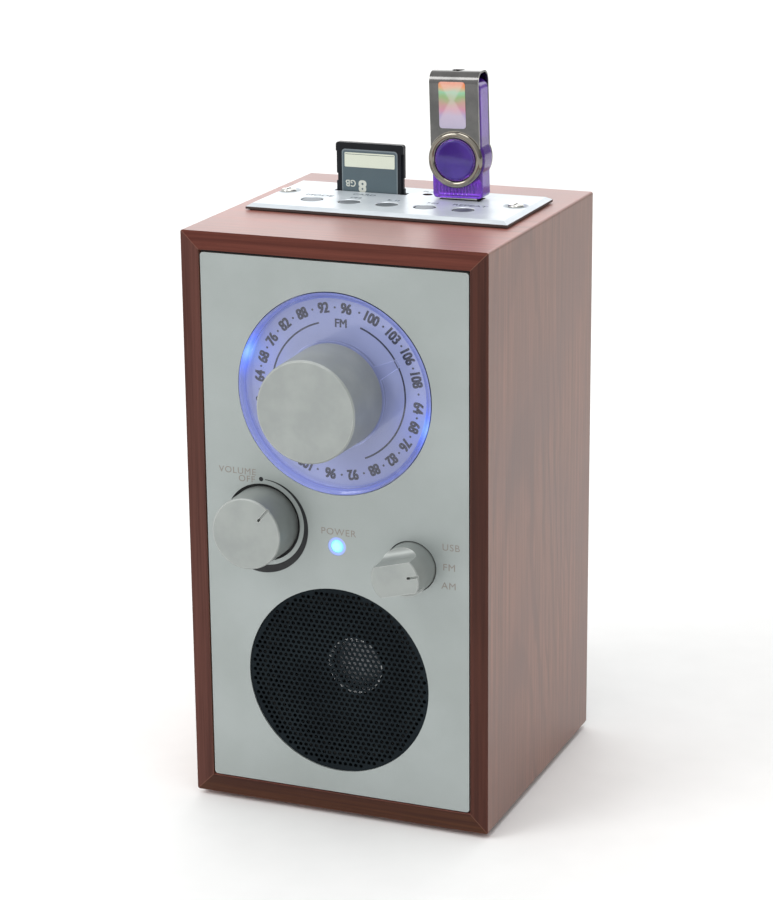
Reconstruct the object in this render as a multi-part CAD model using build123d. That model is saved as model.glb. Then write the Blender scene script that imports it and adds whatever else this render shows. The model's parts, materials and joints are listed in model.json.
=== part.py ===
from build123d import *
import math
import os

# Tabletop radio with a mitred wooden cabinet, a lit tuning dial, and card and USB sockets on top.
# Shapes are placed by x across, depth behind the cabinet's front face (along +Y) and height above
# its underside (+Z). save() then moves them to the part's frame: origin under the middle, on the floor.

# ---- Driving dimensions, in millimetres and degrees ----
CABINET_WIDTH = 103.0
CABINET_DEPTH = 101.0
CABINET_HEIGHT = 190.0
BOARD = 6.0
CABINET_ROUND = 0.8
FOOT_HEIGHT, FOOT_RADIUS, FOOT_INSET = 1.8, 5.0, 10.0

PANEL_GAP = 0.5
PANEL_GAP_TOP = 0.8
PANEL_FRONT = 0.2
PANEL_THICKNESS = 1.4
BAFFLE_THICKNESS = 3.0
BAFFLE_GAP = 0.2

DIAL_HEIGHT = 141.0
DIAL_RADIUS = 32.6
DIAL_WINDOW_RADIUS = 30.6
DIAL_WINDOW_DEPTH = 1.4
LENS_BACK = 4.8
DIAL_CENTRE_HOLE = 6.0
LED_RING_RADIUS = 28.0
LED_ANGLES = (-70, 107)

TUNING_RADIUS = 16.4
TUNING_STANDOUT = 22.0
POINTER_LENGTH = 24.8
POINTER_REST = 61

VOLUME_X, VOLUME_HEIGHT = -25.3, 96.3
VOLUME_RADIUS = 11.7
VOLUME_HOLE = 12.9
VOLUME_STANDOUT = 13.0
VOLUME_REST = 42

BAND_X, BAND_HEIGHT = 25.6, 87.4
BAND_RADIUS = 8.0
BAND_HOLE = 8.5
BAND_STANDOUT = 13.8
BAND_GRIP = 10.0
BAND_REST = -15

LAMP_X, LAMP_HEIGHT = 0.3, 91.1
LAMP_RADIUS = 2.25
LAMP_HOLE = 3.1

SPEAKER_HEIGHT = 45.4
GRILLE_RADIUS = 31.2

SHAFT_RADIUS = 3.0
SHAFT_PLAY = 0.05
BUSH_RADIUS = 3.5

PLATE_WIDTH, PLATE_LENGTH = 90.0, 44.0
PLATE_FRONT = 34.5
PLATE_THICKNESS = 2.2
PLATE_REBATE = 0.4
PLATE_BEVEL_WIDTH, PLATE_BEVEL_DROP = 1.8, 1.0
CUTOUT_WIDTH, CUTOUT_LENGTH, CUTOUT_ROUND = 68.0, 34.0, 2.0
MEDIA_SCREW_SPAN, MEDIA_SCREW_MIDDLE = 39.9, -0.9
MEDIA_BOARD_TOP = 174.6

BUTTON_NAMES = ("mode", "previous", "play", "next", "repeat")
BUTTON_MIDDLE_X, BUTTON_PITCH, BUTTON_DEPTH = -1.2, 13.15, 48.3
BUTTON_RADIUS, BUTTON_PLAY, STEM_RADIUS = 3.4, 0.25, 1.5

CARD_X, CARD_DEPTH = -14.0, 66.0
CARD_WIDTH, CARD_LENGTH, CARD_THICKNESS = 24.0, 32.0, 2.1
CARD_TOP = 208.4

PLUG_X, PLUG_DEPTH = 18.5, 65.3
PLUG_WIDTH, PLUG_THICKNESS, PLUG_LENGTH = 12.0, 4.5, 16.7
STICK_BASE = 192.9
STICK_WIDTH, STICK_THICKNESS, STICK_LENGTH = 17.2, 8.0, 38.3
STICK_TOP_ROUND, STICK_BOTTOM_ROUND = 3.0, 1.4
STICK_LEAN = -1.5
PIVOT_RISE = 12.8
RING_RADIUS = 9.2
COVER_WIDTH, COVER_REACH, COVER_SHEET, COVER_GAP = 16.8, 28.4, 0.6, 0.3
COVER_BEND = 3.8
PIVOT_RADIUS, PIVOT_PLAY = 6.8, 0.08

SCREW_RADIUS = 1.3
SCREW_HEAD_RADIUS, SCREW_HEAD_HEIGHT = 2.6, 1.6
LONG_SCREW, SHORT_SCREW, MEDIA_SCREW = 12.0, 4.6, 7.5
PILOT_PLAY, SCREW_PLAY = 0.03, 0.2
CIRCUIT_BOARD = 1.6
CUT = 1.0  # how far a cutting shape runs past the face that it starts from

# ---- Worked out from them ----
FRONT_Y = (TUNING_STANDOUT - CABINET_DEPTH) / 2
INNER_X = CABINET_WIDTH / 2 - BOARD
CEILING = CABINET_HEIGHT - BOARD
PANEL_BACK = PANEL_FRONT + PANEL_THICKNESS
BAFFLE_BACK = PANEL_BACK + BAFFLE_THICKNESS
MAIN_BOARD_FRONT = 28.5
MAIN_BOARD_BACK = MAIN_BOARD_FRONT + CIRCUIT_BOARD
REAR_COVER_FRONT = CABINET_DEPTH - 5.0
REAR_COVER_BACK = REAR_COVER_FRONT + 3.0
PLATE_X = 0.0
PLATE_MIDDLE = PLATE_FRONT + PLATE_LENGTH / 2
PLATE_TOP = CABINET_HEIGHT + PLATE_THICKNESS
BUTTON_XS = [BUTTON_MIDDLE_X + BUTTON_PITCH * (i - 2) for i in range(5)]
MEDIA_SCREW_XS = [MEDIA_SCREW_MIDDLE + side * MEDIA_SCREW_SPAN for side in (-1, 1)]
MEDIA_SCREW_DEPTH = PLATE_MIDDLE + 3.0
PIVOT_HEIGHT = STICK_BASE + PIVOT_RISE
STICK_FRONT = PLUG_DEPTH - STICK_THICKNESS / 2
STICK_BACK = PLUG_DEPTH + STICK_THICKNESS / 2


# ---- Helpers ----
def save(node, *solids):
    """Writes one node's STEP in the part's frame."""
    shape = solids[0] if len(solids) == 1 else Compound(children=list(solids))
    export_step(Pos(0, FRONT_Y, FOOT_HEIGHT) * shape, f"parts/{node}.step")


def block(x, depth, height):
    """A box from the low and high limit along each direction."""
    limits = (x, depth, height)
    centre = [(low + high) / 2 for low, high in limits]
    return Pos(*centre) * Box(*[high - low for low, high in limits])


def rod(x, height, radius, front, back):
    """A cylinder running front to back."""
    return Pos(x, (front + back) / 2, height) * Rot(90, 0, 0) * Cylinder(radius, back - front)


def post(x, depth, radius, bottom, top):
    """An upright cylinder."""
    return Pos(x, depth, (bottom + top) / 2) * Cylinder(radius, top - bottom)


def turned(x, height, *outline):
    """A solid turned about a front-to-back axis. The outline is (radius, depth) points."""
    face = make_face(Polyline(*outline, close=True))
    return Pos(x, 0, height) * revolve(face, Axis.Y, 360)


def tube(x, height, inner, outer, front, back):
    """A ring or sleeve running front to back."""
    return turned(x, height, (inner, front), (outer, front), (outer, back), (inner, back))


def plate(x, height, radius, front, back):
    """An upright plate facing the front, with rounded corners."""
    width, tall = x[1] - x[0], height[1] - height[0]
    plane = Plane(origin=(sum(x) / 2, back, sum(height) / 2), x_dir=(1, 0, 0), z_dir=(0, -1, 0))
    return extrude(plane * RectangleRounded(width, tall, radius), back - front)


def prism(points, front, back):
    """A solid with an outline of (x, height) points, running front to back."""
    face = make_face(Polyline(*[(x, 0, z) for x, z in points], close=True))
    return Pos(0, front, 0) * extrude(face, back - front, dir=(0, 1, 0))


def around(x, height, radius, angles):
    """Points (x, height) on a circle, at clockwise angles from the top as seen from the front."""
    turns = [math.radians(angle) for angle in angles]
    return [(x + radius * math.sin(turn), height + radius * math.cos(turn)) for turn in turns]


def turn_about(x, height, degrees, shape):
    """The shape turned clockwise, as seen from the front, about a front-to-back axis."""
    return Pos(x, 0, height) * Rot(0, degrees, 0) * Pos(-x, 0, -height) * shape


def screw(length):
    """A pan-head screw with its head's underside at the origin and its shank along -Z."""
    head = Pos(0, 0, SCREW_HEAD_HEIGHT / 2) * Cylinder(SCREW_HEAD_RADIUS, SCREW_HEAD_HEIGHT)
    head = fillet(head.edges().sort_by(Axis.Z)[-1], 0.7)
    shank = Pos(0, 0, -length / 2) * Cylinder(SCREW_RADIUS, length)
    recess_length, recess_width = 3.2, 0.6
    cross = Box(recess_length, recess_width, SCREW_HEAD_HEIGHT)
    cross += Box(recess_width, recess_length, SCREW_HEAD_HEIGHT)
    return head + shank - Pos(0, 0, SCREW_HEAD_HEIGHT + 0.1) * cross


def screw_facing_back(x, depth, height, length):
    """A screw driven towards the front, with its head on a face that looks backwards."""
    return Pos(x, depth, height) * Rot(-90, 0, 0) * screw(length)


def hexagon_nut(x, height, front, back):
    """A nut on a control's bush, with a round washer behind it."""
    corner_radius, washer_radius, washer_thickness = 5.6, 5.9, 0.5
    plane = Plane(origin=(x, back, height), x_dir=(1, 0, 0), z_dir=(0, -1, 0))
    nut = extrude(plane * RegularPolygon(corner_radius, 6), back - front)
    washer = rod(x, height, washer_radius, back - washer_thickness, back)
    return nut + washer - rod(x, height, BUSH_RADIUS + PILOT_PLAY, front - CUT, back + CUT)


# ---- Cabinet ----
def cabinet_boards():
    """Four boards mitred at the corners, with slightly rounded outer corners."""
    half, tall = CABINET_WIDTH / 2, CABINET_HEIGHT
    outside = block((-half, half), (0, CABINET_DEPTH), (0, tall))
    outside = fillet(outside.edges().filter_by(Axis.Y), CABINET_ROUND)
    inner = [(-INNER_X, BOARD), (INNER_X, BOARD), (INNER_X, CEILING), (-INNER_X, CEILING)]
    outer = [(-half, 0), (half, 0), (half, tall), (-half, tall)]
    names = ("board_bottom", "board_right", "board_top", "board_left")
    boards = {}
    for i, name in enumerate(names):
        j = (i + 1) % 4
        wedge = prism([outer[i], outer[j], inner[j], inner[i]], 0, CABINET_DEPTH)
        boards[name] = outside & wedge
    cutout = block(
        (-CUTOUT_WIDTH / 2, CUTOUT_WIDTH / 2),
        (PLATE_MIDDLE - CUTOUT_LENGTH / 2, PLATE_MIDDLE + CUTOUT_LENGTH / 2),
        (CEILING - CUT, tall + CUT),
    )
    cutout = fillet(cutout.edges().filter_by(Axis.Z), CUTOUT_ROUND)
    boards["board_top"] -= cutout
    for x in MEDIA_SCREW_XS:
        pilot = post(x, MEDIA_SCREW_DEPTH, SCREW_RADIUS + PILOT_PLAY, CEILING - CUT, tall + CUT)
        boards["board_top"] -= pilot
    for name, board in boards.items():
        save(name, board)


def corner_places(inset):
    """The four (x, height) corners of the cabinet's inside, moved inwards."""
    return [
        (side * (INNER_X - inset), height)
        for side in (-1, 1)
        for height in (BOARD + inset, CEILING - inset)
    ]


BLOCK_SIZE = 9.0
BLOCK_INSET = BLOCK_SIZE / 2
BLOCK_BACK = 15.0


def corner_blocks():
    """Glued blocks: four that the baffle screws to, and four for the rear cover."""
    blocks = []
    rear_block_front = REAR_COVER_FRONT - LONG_SCREW
    for front, back in ((BAFFLE_BACK, BLOCK_BACK), (rear_block_front, REAR_COVER_FRONT)):
        for x, height in corner_places(BLOCK_INSET):
            limits = [(place - BLOCK_INSET, place + BLOCK_INSET) for place in (x, height)]
            piece = block(limits[0], (front, back), limits[1])
            hole = rod(x, height, SCREW_RADIUS + PILOT_PLAY, front - CUT, back + CUT)
            blocks.append(piece - hole)
    save("corner_blocks", *blocks)


def feet():
    """Four rubber discs under the corners."""
    places = [
        (side * (CABINET_WIDTH / 2 - FOOT_INSET), depth)
        for side in (-1, 1)
        for depth in (FOOT_INSET, CABINET_DEPTH - FOOT_INSET)
    ]
    solids = []
    for x, depth in places:
        foot = post(x, depth, FOOT_RADIUS, -FOOT_HEIGHT, 0)
        solids.append(chamfer(foot.edges().sort_by(Axis.Z)[0], 0.4))
    save("feet", *solids)


SOCKET_HEIGHT = 24.0
JACK_X, JACK_BARREL, JACK_BORE = 26.0, 3.0, 1.8
INLET_X, INLET_BARREL, INLET_BORE, INLET_PIN = -26.0, 4.0, 2.85, 1.0
LOUVRE_ROWS, LOUVRE_PITCH, LOUVRE_HEIGHT = 7, 5.0, 128.0
LOUVRE_HALF_WIDTH, LOUVRE_HALF_HEIGHT = 24.0, 0.9


def rear_cover():
    """An inset back with louvres, four screws, and holes for the two sockets."""
    gap = BAFFLE_GAP
    through = (REAR_COVER_FRONT - CUT, REAR_COVER_BACK + CUT)
    cover = plate(
        (-INNER_X + gap, INNER_X - gap), (BOARD + gap, CEILING - gap), 0.8, REAR_COVER_FRONT, REAR_COVER_BACK
    )
    for row in range(LOUVRE_ROWS):
        height = LOUVRE_HEIGHT + LOUVRE_PITCH * row
        limits = (height - LOUVRE_HALF_HEIGHT, height + LOUVRE_HALF_HEIGHT)
        cover -= plate((-LOUVRE_HALF_WIDTH, LOUVRE_HALF_WIDTH), limits, LOUVRE_HALF_HEIGHT - 0.05, *through)
    for x, barrel in ((JACK_X, JACK_BARREL), (INLET_X, INLET_BARREL)):
        cover -= rod(x, SOCKET_HEIGHT, barrel + 0.1, *through)
    screws = []
    for x, height in corner_places(BLOCK_INSET):
        cover -= rod(x, height, SCREW_RADIUS + SCREW_PLAY, *through)
        screws.append(screw_facing_back(x, REAR_COVER_BACK, height, LONG_SCREW))
    save("rear_cover", cover)
    save("rear_screws", *screws)


def socket_body(x, barrel, bore):
    """A square body behind the rear cover, with a bored barrel that fills the cover's hole."""
    half, length, bore_depth = 5.0, 11.0, 9.5
    front = REAR_COVER_FRONT
    body = block((x - half, x + half), (front - length, front), (SOCKET_HEIGHT - half, SOCKET_HEIGHT + half))
    body += rod(x, SOCKET_HEIGHT, barrel, front, REAR_COVER_BACK)
    return body - rod(x, SOCKET_HEIGHT, bore, front - bore_depth, REAR_COVER_BACK + CUT)


def rear_sockets():
    """A headphone-size aux jack, and a round DC inlet with a pin in its middle."""
    save("aux_jack", socket_body(JACK_X, JACK_BARREL, JACK_BORE))
    pin = rod(INLET_X, SOCKET_HEIGHT, INLET_PIN, REAR_COVER_FRONT - 10, REAR_COVER_BACK - 0.6)
    save("dc_inlet", socket_body(INLET_X, INLET_BARREL, INLET_BORE) + pin)


# ---- Front panel and baffle ----
def front_openings(front, back, dial, volume, band, lamp, speaker):
    """The five round holes that the panel and the baffle share, with their own radii."""
    return (
        rod(0, DIAL_HEIGHT, dial, front, back)
        + rod(VOLUME_X, VOLUME_HEIGHT, volume, front, back)
        + rod(BAND_X, BAND_HEIGHT, band, front, back)
        + rod(LAMP_X, LAMP_HEIGHT, lamp, front, back)
        + rod(0, SPEAKER_HEIGHT, speaker, front, back)
    )


BOSS_X, BOSS_HEIGHTS, BOSS_RADIUS = 38.0, (102.0, 171.0), 3.2
BOARD_BOSSES = [(side * BOSS_X, height) for side in (-1, 1) for height in BOSS_HEIGHTS]
CUP_SCREW_CIRCLE, SPEAKER_SCREW_CIRCLE = 37.4, 36.4
CUP_SCREWS = around(0, DIAL_HEIGHT, CUP_SCREW_CIRCLE, (0, 120, 240))
SPEAKER_SCREWS = around(0, SPEAKER_HEIGHT, SPEAKER_SCREW_CIRCLE, (45, 135, 225, 315))


def front_panel():
    """The metal panel, with a clean round hole for each control."""
    panel = plate(
        (-INNER_X + PANEL_GAP, INNER_X - PANEL_GAP),
        (BOARD + PANEL_GAP, CEILING - PANEL_GAP_TOP),
        1.0, PANEL_FRONT, PANEL_BACK,
    )
    panel -= front_openings(
        PANEL_FRONT - CUT, PANEL_BACK + CUT,
        DIAL_RADIUS + 0.3, VOLUME_HOLE, BAND_HOLE, LAMP_HOLE, GRILLE_RADIUS + 0.1,
    )
    save("front_panel", panel)


def front_baffle():
    """The moulded board behind the panel, with bosses for the main board."""
    front, back = PANEL_BACK, BAFFLE_BACK
    baffle = block(
        (-INNER_X + BAFFLE_GAP, INNER_X - BAFFLE_GAP),
        (front, back),
        (BOARD + BAFFLE_GAP, CEILING - BAFFLE_GAP),
    )
    bush = BUSH_RADIUS + PILOT_PLAY
    baffle -= front_openings(
        front - CUT, back + CUT, DIAL_RADIUS + 0.4, bush, bush, LAMP_HOLE, GRILLE_RADIUS + 0.3
    )
    pilot = SCREW_RADIUS + PILOT_PLAY
    for x, height in BOARD_BOSSES:
        baffle += tube(x, height, pilot, BOSS_RADIUS, back, MAIN_BOARD_FRONT)
    for x, height in CUP_SCREWS + SPEAKER_SCREWS:
        baffle -= rod(x, height, pilot, front - CUT, back + CUT)
    screws = []
    for x, height in corner_places(BLOCK_INSET):
        baffle -= rod(x, height, pilot, front + 1, back + CUT)
        screws.append(screw_facing_back(x, BLOCK_BACK, height, LONG_SCREW))
    save("front_baffle", baffle)
    save("baffle_screws", *screws)


# ---- Dial ----
SCALE_FRONT = LENS_BACK + 0.35
SCALE_BACK = SCALE_FRONT + 0.8


def dial_lens():
    """A thick clear disc: a raised rim bevels in to the window, and a lip keeps it off the scale."""
    lip = DIAL_RADIUS - 1.0
    lens = turned(
        0, DIAL_HEIGHT,
        (DIAL_CENTRE_HOLE, DIAL_WINDOW_DEPTH), (DIAL_WINDOW_RADIUS, DIAL_WINDOW_DEPTH),
        (DIAL_RADIUS - 0.5, 0), (DIAL_RADIUS, 0), (DIAL_RADIUS, SCALE_FRONT),
        (lip, SCALE_FRONT), (lip, LENS_BACK), (DIAL_CENTRE_HOLE, LENS_BACK),
    )
    save("dial_lens", lens)


def dial_scale():
    """The printed disc between the lens and the light box."""
    save("dial_scale", tube(0, DIAL_HEIGHT, DIAL_CENTRE_HOLE, DIAL_RADIUS - 0.2, SCALE_FRONT, SCALE_BACK))


CUP_FLOOR = 12.0
CUP_BACK = 13.5
CUP_FLANGE_RADIUS, CUP_FLANGE_BACK = 40.5, 6.4
CUP_WALL = (30.9, 34.6)
CUP_LEDGE = 33.0
CUP_HOLE = 4.2


def dial_cup():
    """The light box behind the scale, screwed to the baffle by its flange."""
    inside, outside = CUP_WALL
    cup = turned(
        0, DIAL_HEIGHT,
        (CUP_HOLE, CUP_FLOOR), (inside, CUP_FLOOR), (inside, SCALE_BACK), (CUP_LEDGE, SCALE_BACK),
        (CUP_LEDGE, BAFFLE_BACK), (CUP_FLANGE_RADIUS, BAFFLE_BACK), (CUP_FLANGE_RADIUS, CUP_FLANGE_BACK),
        (outside, CUP_FLANGE_BACK), (outside, CUP_BACK), (CUP_HOLE, CUP_BACK),
    )
    for x, height in CUP_SCREWS:
        cup -= rod(x, height, SCREW_RADIUS + SCREW_PLAY, BAFFLE_BACK - CUT, CUP_FLANGE_BACK + CUT)
    save("dial_cup", cup)


def dial_leds():
    """Two blue lamps standing on the cup's floor, near its rim."""
    radius, dome_depth = 1.5, 9.0
    leds = []
    for x, height in around(0, DIAL_HEIGHT, LED_RING_RADIUS, LED_ANGLES):
        dome = Pos(x, dome_depth, height) * Sphere(radius)
        leds.append(rod(x, height, radius, dome_depth, CUP_FLOOR) + dome)
    save("dial_leds", *leds)


CAPACITOR_FRONT = 14.5


def tuning_capacitor():
    """A square variable capacitor with a bush that the tuning shaft turns in."""
    front, half = CAPACITOR_FRONT, 12.0
    body = block((-half, half), (front, MAIN_BOARD_FRONT), (DIAL_HEIGHT - half, DIAL_HEIGHT + half))
    body = fillet(body.edges().filter_by(Axis.Y), 1.5)
    bush_front = CUP_FLOOR - 0.5
    body += rod(0, DIAL_HEIGHT, CUP_HOLE - 0.1, bush_front, front)
    bore = rod(0, DIAL_HEIGHT, SHAFT_RADIUS + SHAFT_PLAY, bush_front - CUT, MAIN_BOARD_FRONT - 2)
    save("tuning_capacitor", body - bore)


KNOB_BASE = -0.8
POINTER_BACK = 0.9


def tuning_controls():
    """Knob, clear pointer skirt and shaft, which turn together."""
    face, radius = -TUNING_STANDOUT, TUNING_RADIUS
    bore_end = face + 5.0
    knob = turned(
        0, DIAL_HEIGHT,
        (0, face), (radius - 0.5, face), (radius, face + 0.5), (radius + 0.35, KNOB_BASE),
        (SHAFT_RADIUS, KNOB_BASE), (SHAFT_RADIUS, bore_end), (0, bore_end),
    )
    save("tuning_knob", knob)

    skirt = tube(0, DIAL_HEIGHT, SHAFT_RADIUS, radius + 1.1, KNOB_BASE, POINTER_BACK)
    root, tip, tab_start = 2.7, 1.35, 14.0
    tab = prism(
        [(-root, tab_start), (root, tab_start), (tip, POINTER_LENGTH), (-tip, POINTER_LENGTH)],
        KNOB_BASE, POINTER_BACK,
    )
    tip_edges = tab.edges().filter_by(Axis.Y).sort_by(Axis.Z)[-2:]
    tab = Pos(0, 0, DIAL_HEIGHT) * fillet(tip_edges, 0.6)
    save("tuning_pointer", turn_about(0, DIAL_HEIGHT, POINTER_REST, skirt + tab))
    save("tuning_shaft", rod(0, DIAL_HEIGHT, SHAFT_RADIUS, bore_end, MAIN_BOARD_FRONT - 3))


# ---- Volume and band controls ----
NUT_FRONT = -0.6
KNOB_BACK = PANEL_BACK - 0.5
SHAFT_COVER = 2.5
CONTROL_BODY_BACK = BAFFLE_BACK + 8.0


def grooved_knob(radius, standout, cavity, cavity_depth, groove_length):
    """A turned knob hollow behind, for the nut, with a groove on its face pointing up."""
    face, edge, draft = -standout, 0.35, 0.15
    bore_end = face + SHAFT_COVER
    knob = turned(
        0, 0,
        (0, face), (radius - edge, face), (radius, face + edge), (radius + draft, KNOB_BACK),
        (cavity, KNOB_BACK), (cavity, cavity_depth), (SHAFT_RADIUS, cavity_depth),
        (SHAFT_RADIUS, bore_end), (0, bore_end),
    )
    groove_end, groove_half = radius - groove_length, 0.4
    knob -= block((-groove_half, groove_half), (face - CUT, face + 0.7), (groove_end, radius + CUT))
    knob -= rod(0, groove_end, groove_half + 0.05, face - CUT, face + 1.6)
    return knob


def control(name, x, height, body):
    """The fixed half of a rotary control: its body behind the baffle and its threaded bush."""
    bush = rod(x, height, BUSH_RADIUS, NUT_FRONT - 0.4, BAFFLE_BACK)
    bore = rod(x, height, SHAFT_RADIUS + SHAFT_PLAY, NUT_FRONT - CUT, CONTROL_BODY_BACK - 2.0)
    save(name, body + bush - bore)


def control_shaft(name, x, height, standout):
    """The shaft from inside the knob to near the end of the control's bore."""
    save(name, rod(x, height, SHAFT_RADIUS, -standout + SHAFT_COVER, CONTROL_BODY_BACK - 2.5))


def volume_controls():
    """Knob, shaft and potentiometer."""
    knob = grooved_knob(VOLUME_RADIUS, VOLUME_STANDOUT, cavity=8.0, cavity_depth=-2.2, groove_length=5.0)
    save("volume_knob", Pos(VOLUME_X, 0, VOLUME_HEIGHT) * Rot(0, VOLUME_REST, 0) * knob)
    control_shaft("volume_shaft", VOLUME_X, VOLUME_HEIGHT, VOLUME_STANDOUT)
    body = rod(VOLUME_X, VOLUME_HEIGHT, 8.5, BAFFLE_BACK, CONTROL_BODY_BACK)
    control("volume_control", VOLUME_X, VOLUME_HEIGHT, body)


def band_controls():
    """The band knob is milled above and below, which leaves a bar to grip."""
    knob = grooved_knob(BAND_RADIUS, BAND_STANDOUT, cavity=6.4, cavity_depth=-1.8, groove_length=3.4)
    knob = Rot(0, 90, 0) * knob
    scoop_radius, scoop_back = 3.0, -5.4
    flat_end = scoop_back - scoop_radius
    wide = BAND_RADIUS + 2
    for side in (-1, 1):
        inner, outer = side * BAND_GRIP / 2, side * wide
        limits = (min(inner, outer), max(inner, outer))
        flat = block((-wide, wide), (-BAND_STANDOUT - CUT, flat_end), limits)
        hollow = Pos(0, flat_end, side * (BAND_GRIP / 2 + scoop_radius)) * Rot(0, 90, 0)
        knob -= flat
        knob -= hollow * Cylinder(scoop_radius, 2 * wide)
    save("band_knob", Pos(BAND_X, 0, BAND_HEIGHT) * Rot(0, BAND_REST, 0) * knob)
    control_shaft("band_shaft", BAND_X, BAND_HEIGHT, BAND_STANDOUT)
    half = 7.5
    body = block(
        (BAND_X - half, BAND_X + half),
        (BAFFLE_BACK, CONTROL_BODY_BACK),
        (BAND_HEIGHT - half, BAND_HEIGHT + half),
    )
    control("band_switch", BAND_X, BAND_HEIGHT, fillet(body.edges().filter_by(Axis.Y), 1.5))


def control_nuts():
    """The nuts that hold both controls against the panel."""
    places = ((VOLUME_X, VOLUME_HEIGHT), (BAND_X, BAND_HEIGHT))
    save("control_nuts", *[hexagon_nut(x, height, NUT_FRONT, PANEL_BACK) for x, height in places])


def power_lamp():
    """A domed lamp in a clear collar that fills the panel's hole."""
    dome_front, collar_back, flange_back, lamp_back = -0.1, 7.6, 8.8, 9.0
    lamp = rod(LAMP_X, LAMP_HEIGHT, LAMP_RADIUS, dome_front, lamp_back)
    lamp = fillet(lamp.edges().sort_by(Axis.Y)[0], 1.2)
    lamp += rod(LAMP_X, LAMP_HEIGHT, LAMP_RADIUS + 0.6, collar_back, flange_back)
    save("power_lamp", lamp)
    collar = tube(LAMP_X, LAMP_HEIGHT, LAMP_RADIUS, LAMP_HOLE - 0.05, PANEL_FRONT + 0.1, collar_back)
    save("power_lamp_collar", collar)


# ---- Speaker ----
GRILLE_FRONT, GRILLE_SHEET = 0.7, 0.7
GASKET_BACK = 6.0
FLANGE_BACK = 7.2
FRAME_FLOOR, FRAME_BACK = 23.0, 24.2
FRAME_FLOOR_RADIUS, MAGNET_HOLE = 18.0, 9.4
SPEAKER_HALF = 34.0
MAGNET_RADIUS, YOKE_RADIUS, POLE_RADIUS = 18.0, 16.0, 7.4
POLE_FRONT, RING_BACK, FERRITE_BACK, YOKE_BACK = 21.5, 26.7, 34.0, 36.5
COIL_RADII = (7.9, 8.4)


def speaker_front():
    """The grille's shallow cap, and the gasket behind the baffle."""
    skirt = GRILLE_RADIUS - 0.8
    sheet_back = GRILLE_FRONT + GRILLE_SHEET
    grille = turned(
        0, SPEAKER_HEIGHT,
        (0, GRILLE_FRONT), (GRILLE_RADIUS, GRILLE_FRONT), (GRILLE_RADIUS, BAFFLE_BACK),
        (skirt, BAFFLE_BACK), (skirt, sheet_back), (0, sheet_back),
    )
    save("speaker_grille", grille)
    save("speaker_gasket", tube(0, SPEAKER_HEIGHT, 30.4, SPEAKER_HALF, BAFFLE_BACK, GASKET_BACK))


def speaker_basket():
    """A pressed frame: a flange trimmed square, a cone with four windows, and a floor."""
    flange_radius, mouth = 39.5, 31.5
    basket = turned(
        0, SPEAKER_HEIGHT,
        (29.0, GASKET_BACK), (flange_radius, GASKET_BACK), (flange_radius, FLANGE_BACK), (mouth, FLANGE_BACK),
        (FRAME_FLOOR_RADIUS, FRAME_FLOOR), (FRAME_FLOOR_RADIUS, FRAME_BACK), (MAGNET_HOLE, FRAME_BACK),
        (MAGNET_HOLE, FRAME_FLOOR), (FRAME_FLOOR_RADIUS - 0.8, FRAME_FLOOR), (mouth - 1.7, FLANGE_BACK + 0.8),
    )
    square = (SPEAKER_HEIGHT - SPEAKER_HALF, SPEAKER_HEIGHT + SPEAKER_HALF)
    basket = basket & block((-SPEAKER_HALF, SPEAKER_HALF), (0, 40), square)
    window = block((-9, 9), (10.0, 20.5), (SPEAKER_HEIGHT + 15, SPEAKER_HEIGHT + 36))
    for angle in (0, 90, 180, 270):
        basket -= turn_about(0, SPEAKER_HEIGHT, angle, window)
    for x, height in SPEAKER_SCREWS:
        basket -= rod(x, height, SCREW_RADIUS + SCREW_PLAY, GASKET_BACK - CUT, FLANGE_BACK + CUT)
    save("speaker_basket", basket)


def speaker_magnet():
    """Front ring, ferrite ring, and a yoke whose pole stands inside the voice coil."""
    front_ring = tube(0, SPEAKER_HEIGHT, 9.2, YOKE_RADIUS, FRAME_BACK, RING_BACK)
    ferrite = tube(0, SPEAKER_HEIGHT, 10.5, MAGNET_RADIUS, RING_BACK, FERRITE_BACK)
    yoke = turned(
        0, SPEAKER_HEIGHT,
        (0, POLE_FRONT), (POLE_RADIUS, POLE_FRONT), (POLE_RADIUS, FERRITE_BACK),
        (YOKE_RADIUS, FERRITE_BACK), (YOKE_RADIUS, YOKE_BACK), (0, YOKE_BACK),
    )
    save("speaker_magnet", front_ring, ferrite, yoke)


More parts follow.
